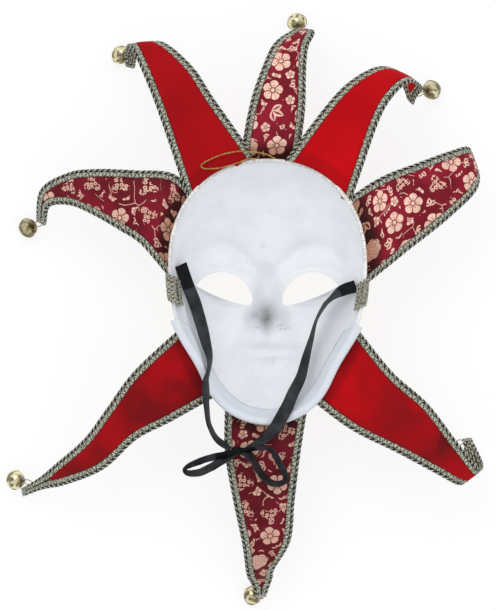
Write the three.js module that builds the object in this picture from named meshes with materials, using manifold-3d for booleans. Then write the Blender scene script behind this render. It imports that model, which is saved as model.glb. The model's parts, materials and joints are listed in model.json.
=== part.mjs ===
// Full-face carnival mask with eight stiffened cloth points, lying face down.
// Millimetres, +Z up, +Y towards the forehead, +X to the right of the open hollow.
// The origin is under the middle of the whole outline, on the surface the mask lies on.

import * as THREE from "three";
import { mergeVertices } from "three/addons/utils/BufferGeometryUtils.js";
import Module from "manifold-3d";

const wasm = await Module();
wasm.setup();

// Face shell
const FACE = new THREE.Vector2(18.9, 14.7); // middle of the face outline
const FACE_HALF_WIDTH = 83.5;
const TEMPLE_Y = 22; // height on the face where it is widest
const FOREHEAD = 88.5; // temple line up to the crown
const JAW = 133; // temple line down to the chin
const FOREHEAD_POWER = 2.15; // a little squarer than an ellipse
const JAW_POWER = 2.02;
const JAW_PINCH = 6.5; // drawn in between cheek and chin
const JAW_PINCH_Y = -64;
const JAW_PINCH_LENGTH = 24;
const RIM_Z = 84; // mean height of the rim
const RIM_WAVE = 4; // the temples stand this much higher, crown and chin lower
const DOME_POWER = 0.82;
const FLARE = 0.35; // how much the wall opens towards the rim
const WALL = 3;
const SOFTNESS = 0.86; // the features are this much shallower inside the hollow
const GAP = 0.3; // between glued or touching pieces
const SECTORS = 44;
const LEVELS = 12;

// Features, places on the face from the middle of the outline
const NOSE_TIP = new THREE.Vector2(0, -26);
const NOSE_ROOT_Y = 24;
const NOSE_HEIGHT = 21;
const NOSE_FLAT = 0.8; // shaved off the tip where the mask rests
const EYE = new THREE.Vector2(37, 2);
const MOUTH_Y = -56;
const CHIN_Y = -88;

// Trims
const BRAID_WIDTH = 7.4;
const BRAID_THICK = 2.6;
const BRAID_SEAM = 0.6; // between the cloth and its braid
const CLOTH_THICK = 2;
const CROWN = 0.05; // rise of a point's middle, as a part of its width
const STEPS = 11; // along each point
const RIBBON_WIDTH = 11;
const RIBBON_THICK = 0.6;
const GATHERED = 0.4; // share of a ribbon's width that is left at the knot
const GATHER_REACH = 0.07; // part of a ribbon's length over which it narrows
const RIBBON_STEPS = 23;
const BOW_STEPS = 14;
const CORD = 1.3;
const CORD_STEPS = 30;

// White cloth band glued over the rim of the jaw, angles in degrees round the outline
const BAND_FROM = 211;
const BAND_TO = 326;
const BAND_DEPTH = 22; // how far it runs down inside
const BAND_THICK = 1.3;
const BAND_CLEAR = 0.6; // from the inner wall
const BAND_LIP = 2.6; // how far it is folded out over the rim

// Braid along the outside of the rim, its two ends turned over into the hollow
const BRAID_FROM = -24.5;
const BRAID_TO = 201.6;
const BRAID_DEPTH = 14; // from the rim down to the braid's upper edge
const BRAID_CLEAR = 1.1; // from the walls
const TURNED = 12.5; // stretch of rim under each turned end, in degrees
const TURNED_DEPTH = 10; // how far a turned end runs down inside
const KNEE = 12; // depth at which the wall's facets turn inwards

// Bells
const BELL_R = 8;
const BELL_WALL = 0.8;
const BELL_SLOT = 1.8;
const BELL_FLAT = 0.7;
const EYELET_R = 2.6;
const EYELET_WIRE = 0.9;

// Cloth points. Each station, from the root to the tip, is
// [x, y, z, width with the braid, direction across in degrees].
// The direction across is to the right of a walker from the root to the tip.
// A bell's wire loop is sewn to the tip, or to another place where one is given.
const POINTS = {
  upper_left: {
    cloth: "velvet",
    stations: [
      [-20, 108, 80, 68, 38],
      [-47, 163, 83, 49, 28],
      [-63, 195, 78, 41, 20],
      [-83, 221, 62, 27, 10],
      [-95, 217, 39, 13, -8],
      [-98, 205, 20, 7, -15],
    ],
    bell: [-106, 216],
  },
  top: {
    cloth: "brocade",
    stations: [
      [19, 116, 71, 50, 3],
      [27, 167, 73, 47, -6],
      [33, 200, 69, 37, -8],
      [39, 221, 58, 29, -8],
      [50, 234, 42, 18, -6],
      [46, 235, 20, 7, 0],
    ],
    bell: [44.5, 243.5],
  },
  upper_right: {
    cloth: "velvet",
    stations: [
      [60, 104, 80, 66, -31],
      [90, 162, 83, 46, -20],
      [108, 185, 78, 37, -22],
      [126, 196, 67, 30, -25],
      [140, 192, 46, 24, -32],
      [140, 184, 28, 16, -38],
      [141, 176, 16, 7, -48],
    ],
    bell: [159.5, 186],
    sewn: [147.5, 181, 20],
  },
  right: {
    cloth: "brocade",
    stations: [
      [91, 53, 76, 82, -89],
      [125, 78, 78, 67, -73],
      [157, 98, 77, 54, -57],
      [183, 114, 69, 41, -60],
      [193, 123, 52, 26, -70],
      [190, 119, 20, 7, -75],
    ],
    bell: [182, 113],
  },
  lower_right: {
    cloth: "velvet",
    stations: [
      [73, -46, 74, 72, -125],
      [106, -78, 78, 60, -126],
      [140, -101, 79.5, 49, -123],
      [168, -125, 75, 33, -124],
      [188, -142, 60, 22, -138],
      [194, -137, 40, 18, -150],
      [192, -122, 26, 11, -165],
      [189, -112, 17, 7, -172],
    ],
    bell: [173.5, -120],
    sewn: [185, -114, 17],
  },
  bottom: {
    cloth: "brocade",
    stations: [
      [18, -82, 71, 70, -180],
      [15, -121, 71, 64, -179],
      [16, -162, 68, 52, -178],
      [18, -198, 54, 41, -176],
      [13, -224, 36, 24, -170],
      [14, -232, 25, 19, -168],
      [14, -247, 19, 7, -166],
    ],
    bell: [6.5, -246],
  },
  lower_left: {
    cloth: "velvet",
    stations: [
      [-35, -43, 75, 66, 120],
      [-77, -74, 78, 53, 125],
      [-103, -97, 75, 37, 131],
      [-127, -123, 61, 31, 119],
      [-156, -141, 38, 20, 110],
      [-174, -150, 23, 10, 107],
      [-190, -158, 9, 6, 105],
    ],
    bell: [-196, -147.5],
    sewn: [-182, -149.5, 16.5],
  },
  left: {
    cloth: "brocade",
    stations: [
      [-46, 50, 75, 80, 84],
      [-72, 81, 77, 67, 68],
      [-99, 90, 77, 52, 76],
      [-127, 97, 68, 39, 90],
      [-148, 100, 54, 28, 94],
      [-169, 93, 38, 17, 118],
      [-174, 72, 19, 8, 150],
    ],
    bell: [-185.5, 68],
  },
};

// Ribbon routes: [x, y, z, direction across, rise across], both in degrees.
const RIBBON_LEFT = [
  [-53.8, 36, 75, 25, -20],
  [-48.7, 20.6, 68, 20, -20],
  [-42.8, 5.5, 64, 18, -18],
  [-37.1, -13, 63, 14, -25],
  [-32.6, -30, 67, 10, -42],
  [-29.6, -42, 75, 8, -62],
  [-30, -52, 84, -9, -74],
  [-32.4, -60, 90.5, -6, -66],
  [-32.5, -70, 90.5, 2, -58],
  [-31.9, -83, 87, 6, -66],
  [-29.8, -98, 82, 16, -70],
  [-24.5, -108.8, 80.2, 38, -66],
  [-17.5, -115, 80.4, 54, -55],
  [-12, -118.6, 80.4, 62, -40],
];
const RIBBON_RIGHT = [
  [93.2, 17.8, 75, 107, -20],
  [83.2, 14.7, 67, 116, -30],
  [73.9, 8.4, 61, 130, -66],
  [67.2, 1.3, 57, 145, -73],
  [60.5, -10.9, 54, 156, -79],
  [56, -27.3, 54, 162, -68],
  [51.7, -42.4, 56, 164, -54],
  [47.7, -57.5, 61, 162, -42],
  [40.3, -72.7, 70, 157, -28],
  [35.7, -82.7, 80, 153, -22],
  [30.2, -92.8, 88.5, 149, -12],
  [25, -101.6, 86, 144, -20],
  [17.8, -108.8, 81.5, 133, -42],
  [9.2, -114.7, 80.6, 122, -50],
  [1, -118.7, 80.4, 116, -40],
];
const BOW_LOOPS = [
  [
    [-4.5, -120.5, 81, 104, 10],
    [-14.3, -123, 83, 102, 50],
    [-28.6, -125.6, 82.5, 104, 58],
    [-39.5, -129.4, 79, 111, 60],
    [-47.9, -133.1, 75.5, 121, 68],
    [-51.2, -136.5, 74, 184, 75],
    [-47.5, -139.5, 73.5, 260, 66],
    [-38, -138.8, 75, 286, 58],
    [-27, -133.5, 77.5, 299, 55],
    [-17.6, -127.7, 79.5, 300, 50],
    [-6.5, -121.5, 80.8, 299, 15],
  ],
  [
    [-8, -120.4, 81.2, 91, 10],
    [-1.7, -120.3, 83.2, 96, 55],
    [8.4, -118.8, 84.7, 96, 72],
    [18.3, -118.4, 85.2, 79, 72],
    [23.5, -121.4, 85, 40, 65],
    [28.6, -130.6, 84, 28, 62],
    [33, -139.5, 82.5, 19, 62],
    [33.4, -144.9, 81.5, -33, 66],
    [27.7, -147.8, 80.5, -87, 66],
    [20.2, -145.7, 80, -122, 62],
    [13.4, -139, 80.3, -143, 60],
    [8.4, -129.8, 81, -147, 60],
    [3, -123.4, 81.3, -124, 50],
    [-6, -120.2, 81, -108, 10],
  ],
];
const HANGING_LOOP = [
  [25, 125, 82],
  [16, 129, 84],
  [-2, 131, 86.5],
  [-16, 129, 87.4],
  [-27, 125, 87],
  [-36, 120, 86.4],
  [-34, 116.4, 86.8],
  [-22, 116.8, 87.4],
  [-8, 120.5, 86.5],
  [2, 124.4, 83.4],
  [9, 124.8, 81.8],
];
const KNOT = new THREE.Vector3(-6.3, -120.2, 81);
const KNOT_SIZE = [4.6, 3.6, 3.4]; // half-lengths of the bow's knot

const material = (color, roughness, metalness = 0) =>
  new THREE.MeshStandardMaterial({ color, roughness, metalness });

const FINISH = {
  shell: material(0xe6e9ee, 0.75),
  band: material(0xf0f1f2, 0.9),
  velvet: material(0xa8101a, 0.85),
  brocade: material(0x7d1430, 0.5),
  braid: material(0x9a9c80, 0.7),
  bell: material(0xc8b878, 0.3, 1),
  wire: material(0x8c8674, 0.35, 1),
  ribbon: material(0x14161a, 0.35),
  cord: material(0xc89a3a, 0.45),
};

const radians = THREE.MathUtils.degToRad;
const hump = (x, width) => Math.exp(-((x / width) ** 2));

// Solids

// Triangles over a ring of points that is nearly flat, also where it bends inwards.
function flatCap(ring, first) {
  const normal = new THREE.Vector3();
  ring.forEach((p, i) => normal.add(p.clone().cross(ring[(i + 1) % ring.length])));
  const level = new THREE.Quaternion().setFromUnitVectors(normal.normalize(), new THREE.Vector3(0, 0, 1));
  const flat = ring.map((p) => p.clone().applyQuaternion(level));
  return THREE.ShapeUtils.triangulateShape(flat, []).map((corners) => corners.map((i) => first + i));
}

// A body through rings of points, closed by a point or a flat cap at each end.
function closed(rings, start, end) {
  const size = rings[0].length;
  const points = rings.flat();
  const faces = [];
  for (let i = 0; i + 1 < rings.length; i++) {
    for (let j = 0; j < size; j++) {
      const a = i * size + j;
      const b = i * size + ((j + 1) % size);
      faces.push(a, b, b + size, a, b + size, a + size);
    }
  }
  const cap = (ring, first, pole, flip) => {
    const apex = pole && points.push(pole) - 1;
    const corners = pole ? ring.map((_, j) => [apex, first + j, first + ((j + 1) % size)]) : flatCap(ring, first);
    for (const [a, b, c] of corners) faces.push(...(flip ? [a, c, b] : [a, b, c]));
  };
  cap(rings[0], 0, start, true);
  cap(rings.at(-1), (rings.length - 1) * size, end, false);
  const geometry = new THREE.BufferGeometry();
  geometry.setAttribute("position", new THREE.Float32BufferAttribute(points.flatMap((p) => p.toArray()), 3));
  geometry.setIndex(faces);
  return geometry;
}

function toSolid(geometry) {
  const bare = geometry.clone();
  bare.deleteAttribute("normal");
  bare.deleteAttribute("uv");
  const merged = mergeVertices(bare, 1e-4);
  const kept = [];
  const index = merged.index.array;
  for (let i = 0; i < index.length; i += 3) {
    const [a, b, c] = index.slice(i, i + 3);
    if (a !== b && b !== c && c !== a) kept.push(a, b, c);
  }
  const build = (faces) =>
    new wasm.Manifold(
      new wasm.Mesh({
        numProp: 3,
        vertProperties: new Float32Array(merged.attributes.position.array),
        triVerts: new Uint32Array(faces),
      }),
    );
  const solid = build(kept);
  return solid.volume() > 0 ? solid : build(kept.reverse());
}

function toGeometry(solid) {
  const mesh = solid.getMesh();
  const geometry = new THREE.BufferGeometry();
  geometry.setAttribute("position", new THREE.BufferAttribute(new Float32Array(mesh.vertProperties), 3));
  geometry.setIndex(new THREE.BufferAttribute(new Uint32Array(mesh.triVerts), 1));
  return geometry;
}

// Face shell

function outline(angle) {
  const c = Math.cos(angle);
  const s = Math.sin(angle);
  const [height, power] = s > 0 ? [FOREHEAD, FOREHEAD_POWER] : [JAW, JAW_POWER];
  const whole = (Math.abs(c) / FACE_HALF_WIDTH) ** power + (Math.abs(s) / height) ** power;
  const reach = whole ** (-1 / power);
  const y = TEMPLE_Y + reach * s;
  const pinch = JAW_PINCH * hump(y - JAW_PINCH_Y, JAW_PINCH_LENGTH);
  return new THREE.Vector2(reach * c - pinch * Math.sign(c), y);
}

function outward(angle) {
  const step = 0.05;
  const along = outline(angle + step).sub(outline(angle - step)).normalize();
  return new THREE.Vector2(along.y, -along.x);
}

const rimHeight = (angle, part = 1) => RIM_Z + RIM_WAVE * part ** 2 * Math.cos(2 * angle);

function features(x, y) {
  const side = Math.abs(x);
  const down = THREE.MathUtils.clamp((NOSE_ROOT_Y - y) / (NOSE_ROOT_Y - NOSE_TIP.y), 0, 1);
  const under = y < NOSE_TIP.y ? hump(y - NOSE_TIP.y, 10) : 1;
  const bridge = NOSE_HEIGHT * down ** 0.9 * under * Math.exp(-((side / (7 + 4.5 * down)) ** 2.6));
  const wing = 9 * hump(side - 13, 6) * hump(y - NOSE_TIP.y, 8);
  const brow = 6 * hump(y - 38 + 0.02 * (side - 41) ** 2, 8) * hump(side - 32, 30);
  const socket = -8 * hump(side - EYE.x + 3, 22) * hump(y - EYE.y, 14);
  const cheek = 5 * hump(side - 46, 18) * hump(y + 26, 18);
  const lips = 7 * hump(x, 21) * (hump(y - MOUTH_Y - 5, 5) + 1.1 * hump(y - MOUTH_Y + 6, 6));
  const chin = 9 * hump(x, 20) * hump(y - CHIN_Y, 13);
  const fold = -2.5 * hump(side - 27 + 0.3 * (y + 40), 5) * hump(y + 44, 14);
  return bridge + wing + brow + socket + cheek + lips + chin + fold;
}

// Rim down to the plain of the face, so that the nose tip just passes the surface below.
const DOME = RIM_Z + NOSE_FLAT - features(NOSE_TIP.x, NOSE_TIP.y);

// A point on the shell: level 0 is the nose tip and level 1 the rim.
function shellPoint(level, angle, inset, softness) {
  const phi = (level * Math.PI) / 2;
  const part = (1 - FLARE) * Math.sin(phi) + FLARE * level;
  const edge = outline(angle).addScaledVector(outward(angle), -inset);
  const place = NOSE_TIP.clone().lerp(edge, part);
  const fade = 1 - part ** 5;
  const deep = (DOME - inset) * Math.cos(phi) ** DOME_POWER;
  const relief = softness * fade * features(place.x, place.y);
  const z = rimHeight(angle, part) - (level >= 1 ? 0 : deep + relief);
  return new THREE.Vector3(place.x + FACE.x, place.y + FACE.y, z);
}

function shellRings(from, inset, softness) {
  const rings = [];
  for (let i = from; i <= LEVELS; i++) {
    const ring = [];
    for (let j = 0; j < SECTORS; j++) {
      ring.push(shellPoint(i / LEVELS, (j / SECTORS) * 2 * Math.PI, inset, softness));
    }
    rings.push(ring);
  }
  return rings;
}

function eyeHole(side) {
  const shape = new THREE.Shape();
  shape.moveTo(side * 60.5, 4);
  shape.bezierCurveTo(side * 54, 12, side * 46, 16, side * 37, 15.5);
  shape.bezierCurveTo(side * 25, 14, side * 15, 5, side * 12.5, -6.5);
  shape.quadraticCurveTo(side * 12.5, -12, side * 17, -13);
  shape.bezierCurveTo(side * 28, -11, side * 48, -5, side * 60.5, 4);
  const cutter = new THREE.ExtrudeGeometry(shape, { depth: 120, bevelEnabled: false, curveSegments: 4 });
  return toSolid(cutter.translate(FACE.x, FACE.y, -10));
}

function maskShell() {
  const outer = shellRings(1, 0, 1);
  const inner = shellRings(1, WALL, SOFTNESS).reverse();
  const nose = shellPoint(0, 0, 0, 1);
  const pit = shellPoint(0, 0, WALL, SOFTNESS);
  const body = toSolid(closed([...outer, ...inner], nose, pit));
  const floor = new THREE.BoxGeometry(60, 60, 20);
  floor.translate(FACE.x + NOSE_TIP.x, FACE.y + NOSE_TIP.y, -10);
  return body.subtract(eyeHole(1)).subtract(eyeHole(-1)).subtract(toSolid(floor));
}

// The space that the shell and its hollow fill, a gap wider all round.
function shellPlug() {
  const rings = shellRings(LEVELS / 2, -GAP, 1);
  const top = rings.at(-1).map((p) => p.clone().setZ(140));
  return toSolid(closed([...rings, top]));
}

// A place beside the rim: proud of the outer or inner wall, at a depth below the rim.
function besideWall(angle, depth, proud) {
  const [inset, softness] = proud > 0 ? [0, 1] : [WALL, SOFTNESS];
  const z = rimHeight(angle) - depth;
  let level = LEVELS - 1;
  let high = shellPoint(1, angle, inset, softness);
  let low = shellPoint(level / LEVELS, angle, inset, softness);
  while (low.z > z) {
    level -= 1;
    high = low;
    low = shellPoint(level / LEVELS, angle, inset, softness);
  }
  const at = low.lerp(high, (z - low.z) / (high.z - low.z));
  const out = outward(angle);
  return new THREE.Vector3(at.x + out.x * proud, at.y + out.y * proud, z);
}

function overRim(angle, out, up) {
  const edge = outline(angle).add(FACE).addScaledVector(outward(angle), out);
  return new THREE.Vector3(edge.x, edge.y, rimHeight(angle) + up);
}

// A body that follows the rim's facets from one angle to another, both in degrees.
function alongRim(from, to, section) {
  const sector = 360 / SECTORS;
  const ring = (angle) => {
    const low = Math.floor(angle / sector) * sector;
    const next = section(radians(low + sector));
    return section(radians(low)).map((p, i) => p.lerp(next[i], (angle - low) / sector));
  };
  const rings = [ring(from)];
  for (let k = Math.floor(from / sector) + 1; k * sector < to; k++) rings.push(ring(k * sector));
  return closed([...rings, ring(to)]);
}

function jawBand() {
  const top = GAP + BAND_THICK;
  return alongRim(BAND_FROM, BAND_TO, (a) => [
    overRim(a, BAND_LIP, -BAND_CLEAR),
    overRim(a, 1, top),
    overRim(a, -WALL - BAND_CLEAR, top),
    besideWall(a, BAND_DEPTH, -BAND_CLEAR - BAND_THICK),
    besideWall(a, BAND_DEPTH, -BAND_CLEAR),
    overRim(a, -WALL - BAND_CLEAR, GAP),
    overRim(a, GAP, GAP),
    overRim(a, BAND_LIP, -BAND_THICK - BAND_CLEAR),
  ]);
}

function faceBraid() {
  const low = BRAID_DEPTH + BRAID_WIDTH;
  const top = BRAID_CLEAR + BRAID_THICK;
  const run = alongRim(BRAID_FROM, BRAID_TO, (a) => [
    besideWall(a, BRAID_DEPTH, BRAID_CLEAR),
    besideWall(a, BRAID_DEPTH, top),
    besideWall(a, low, top),
    besideWall(a, low, BRAID_CLEAR),
  ]);
  const turned = (from) =>
    alongRim(from, from + TURNED, (a) => [
      besideWall(a, low, top),
      besideWall(a, low, BRAID_CLEAR),
      besideWall(a, KNEE, BRAID_CLEAR),
      overRim(a, BRAID_CLEAR, GAP),
      overRim(a, -WALL - BRAID_CLEAR, GAP),
      besideWall(a, TURNED_DEPTH, -BRAID_CLEAR),
      besideWall(a, TURNED_DEPTH, -top),
      overRim(a, -WALL - BRAID_THICK, BRAID_THICK),
      overRim(a, top, BRAID_THICK - BRAID_CLEAR),
    ]);
  const overlap = 1; // degrees past each end of the run
  return [turned(BRAID_FROM - overlap), turned(BRAID_TO + overlap - TURNED)].reduce(
    (whole, end) => whole.add(toSolid(end)),
    toSolid(run),
  );
}

// Cloth points

const spline = (points) => new THREE.CatmullRomCurve3(points, false, "catmullrom", 0.5);

class Strip {
  constructor(stations) {
    this.line = spline(stations.map((s) => new THREE.Vector3(s[0], s[1], s[2])));
    this.make = spline(stations.map((s) => new THREE.Vector3(s[3], radians(s[4]), 0)));
  }

  width(t) {
    return this.make.getPoint(t).x;
  }

  at(t, aside, up) {
    const across = this.make.getPoint(t).y;
    const side = new THREE.Vector3(Math.cos(across), Math.sin(across), 0);
    const along = this.line.getTangent(t);
    const normal = side.clone().cross(along).normalize();
    const half = this.width(t) / 2;
    const rise = CROWN * 2 * half * (1 - (aside / half) ** 2);
    return this.line.getPoint(t).addScaledVector(side, aside).addScaledVector(normal, up + rise);
  }
}

// The cloth between its two braids, on the same steps as they are, down to its narrow end.
function clothSolid(strip) {
  const narrowest = 2;
  const halfAt = (i) => strip.width(i / STEPS) / 2 - BRAID_WIDTH - BRAID_SEAM;
  const section = (i) => {
    const half = halfAt(i);
    const up = CLOTH_THICK / 2;
    return [
      strip.at(i / STEPS, -half, up),
      strip.at(i / STEPS, 0, up),
      strip.at(i / STEPS, half, up),
      strip.at(i / STEPS, half, -up),
      strip.at(i / STEPS, 0, -up),
      strip.at(i / STEPS, -half, -up),
    ];
  };
  const rings = [];
  let step = 0;
  while (halfAt(step) > narrowest / 2) rings.push(section(step++));
  const excess = halfAt(step - 1) - narrowest / 2;
  const part = excess / (halfAt(step - 1) - halfAt(step));
  const beyond = section(step);
  rings.push(rings.at(-1).map((p, i) => p.clone().lerp(beyond[i], part)));
  return toSolid(closed(rings));
}

function braidSolid(strip) {
  const section = (t, side) => {
    const outer = strip.width(t) / 2;
    const inner = Math.max(outer - BRAID_WIDTH, 0.3);
    const up = BRAID_THICK / 2;
    return [
      strip.at(t, side * outer, up),
      strip.at(t, side * inner, up),
      strip.at(t, side * inner, -up),
      strip.at(t, side * outer, -up),
    ];
  };
  const rings = [];
  for (let i = 0; i <= STEPS; i++) rings.push(section(i / STEPS, -1));
  for (let i = STEPS; i >= 0; i--) rings.push(section(i / STEPS, 1));
  return toSolid(closed(rings));
}

// Bells

// A hollow bell whose eyelet end points along the axis, with a level slot in its far end
// and a flat shaved where it rests.
function bellAt(middle, axis) {
  const level = new THREE.Vector3(0, 0, 1).cross(axis).normalize();
  const frame = new THREE.Matrix4().makeBasis(level.clone().cross(axis), level, axis.clone().negate());
  frame.setPosition(middle);
  const put = (geometry) => toSolid(geometry.applyMatrix4(frame));
  const sphere = (radius, across, down) => new THREE.SphereGeometry(radius, across, down).rotateX(Math.PI / 2);
  const slot = new THREE.BoxGeometry(BELL_SLOT, BELL_R * 2.4, BELL_R).translate(0, 0, BELL_R * 0.62);
  const foot = new THREE.BoxGeometry(4 * BELL_R, 4 * BELL_R, BELL_R);
  foot.translate(middle.x, middle.y, -BELL_R / 2);
  return put(sphere(BELL_R, 10, 6))
    .subtract(put(sphere(BELL_R - BELL_WALL - BELL_FLAT, 6, 3)))
    .subtract(put(slot))
    .subtract(toSolid(foot));
}

// A wire loop that reaches from the bell's eyelet end to just short of the point's tip.
function eyeletAt(bellTop, tip) {
  const ring = new THREE.TorusGeometry(EYELET_R, EYELET_WIRE / 2, 4, 6);
  const along = tip.clone().sub(bellTop);
  const start = EYELET_WIRE / 2 + GAP;
  const end = along.length() - BRAID_THICK / 2 - start - GAP;
  ring.scale(1, (end - start) / (2 * EYELET_R), 1);
  along.normalize();
  ring.applyQuaternion(new THREE.Quaternion().setFromUnitVectors(new THREE.Vector3(0, 1, 0), along));
  const middle = bellTop.clone().addScaledVector(along, (start + end) / 2);
  return ring.translate(middle.x, middle.y, middle.z);
}

// Ribbons and cord

// A ribbon along a route, gathered towards each end that goes into the knot.
function flatRibbon(route, steps, ends) {
  const narrow = (t) => 1 - (1 - GATHERED) * Math.max(...ends.map((end) => hump(t - end, GATHER_REACH)));
  const line = spline(route.map(([x, y, z]) => new THREE.Vector3(x, y, z)));
  const turn = spline(route.map(([, , , across, rise]) => new THREE.Vector3(radians(across), radians(rise), 0)));
  const rings = [];
  for (let i = 0; i <= steps; i++) {
    const { x: across, y: rise } = turn.getPoint(i / steps);
    const level = new THREE.Vector3(Math.cos(across), Math.sin(across), 0).multiplyScalar(Math.cos(rise));
    const side = level.setZ(Math.sin(rise)).multiplyScalar((RIBBON_WIDTH / 2) * narrow(i / steps));
    const along = line.getTangent(i / steps);
    const normal = side.clone().cross(along).normalize().multiplyScalar(RIBBON_THICK / 2);
    const at = line.getPoint(i / steps);
    rings.push([
      at.clone().sub(side).add(normal),
      at.clone().add(side).add(normal),
      at.clone().add(side).sub(normal),
      at.clone().sub(side).sub(normal),
    ]);
  }
  return toSolid(closed(rings));
}

function bow() {
  const knot = new THREE.SphereGeometry(1, 8, 5);
  knot.scale(...KNOT_SIZE).translate(KNOT.x, KNOT.y, KNOT.z);
  return BOW_LOOPS.reduce((whole, route) => whole.add(flatRibbon(route, BOW_STEPS, [0, 1])), toSolid(knot));
}

function hangingLoop() {
  const route = spline(HANGING_LOOP.map((p) => new THREE.Vector3(...p)));
  const section = new THREE.Shape().absarc(0, 0, CORD / 2, 0, 2 * Math.PI);
  return new THREE.ExtrudeGeometry(section, {
    steps: CORD_STEPS,
    curveSegments: 4,
    extrudePath: route,
    bevelEnabled: false,
  });
}

// The whole mask

const group = new THREE.Group();

function place(name, shape, finish) {
  const solid = shape.isBufferGeometry ? toSolid(shape) : shape;
  const mesh = new THREE.Mesh(toGeometry(solid), FINISH[finish]);
  mesh.name = name;
  group.add(mesh);
}

const plug = shellPlug();

place("mask_shell", maskShell(), "shell");
place("jaw_band", jawBand(), "band");
place("face_braid", faceBraid(), "braid");

for (const [name, { cloth, stations, bell, sewn }] of Object.entries(POINTS)) {
  const strip = new Strip(stations);
  place(`point_${name}`, clothSolid(strip).subtract(plug), cloth);
  place(`braid_${name}`, braidSolid(strip).subtract(plug), "braid");
  const tip = sewn ? new THREE.Vector3(...sewn) : strip.at(1, 0, 0);
  const middle = new THREE.Vector3(...bell, BELL_R - BELL_FLAT);
  const axis = tip.clone().sub(middle).normalize();
  place(`bell_${name}`, bellAt(middle, axis), "bell");
  place(`bell_wire_${name}`, eyeletAt(middle.clone().addScaledVector(axis, BELL_R), tip), "wire");
}

place("ribbon_left", flatRibbon(RIBBON_LEFT, RIBBON_STEPS, [1]), "ribbon");
place("ribbon_right", flatRibbon(RIBBON_RIGHT, RIBBON_STEPS, [1]), "ribbon");
place("bow", bow(), "ribbon");
place("hanging_loop", hangingLoop(), "cord");

export default group;
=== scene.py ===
"""Full-face carnival mask with eight cloth points, lying face down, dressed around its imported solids.

Metres, +Z up, +Y towards the forehead, +X to the right of the open hollow.
"""

import json
import math
from bisect import bisect_right

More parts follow.
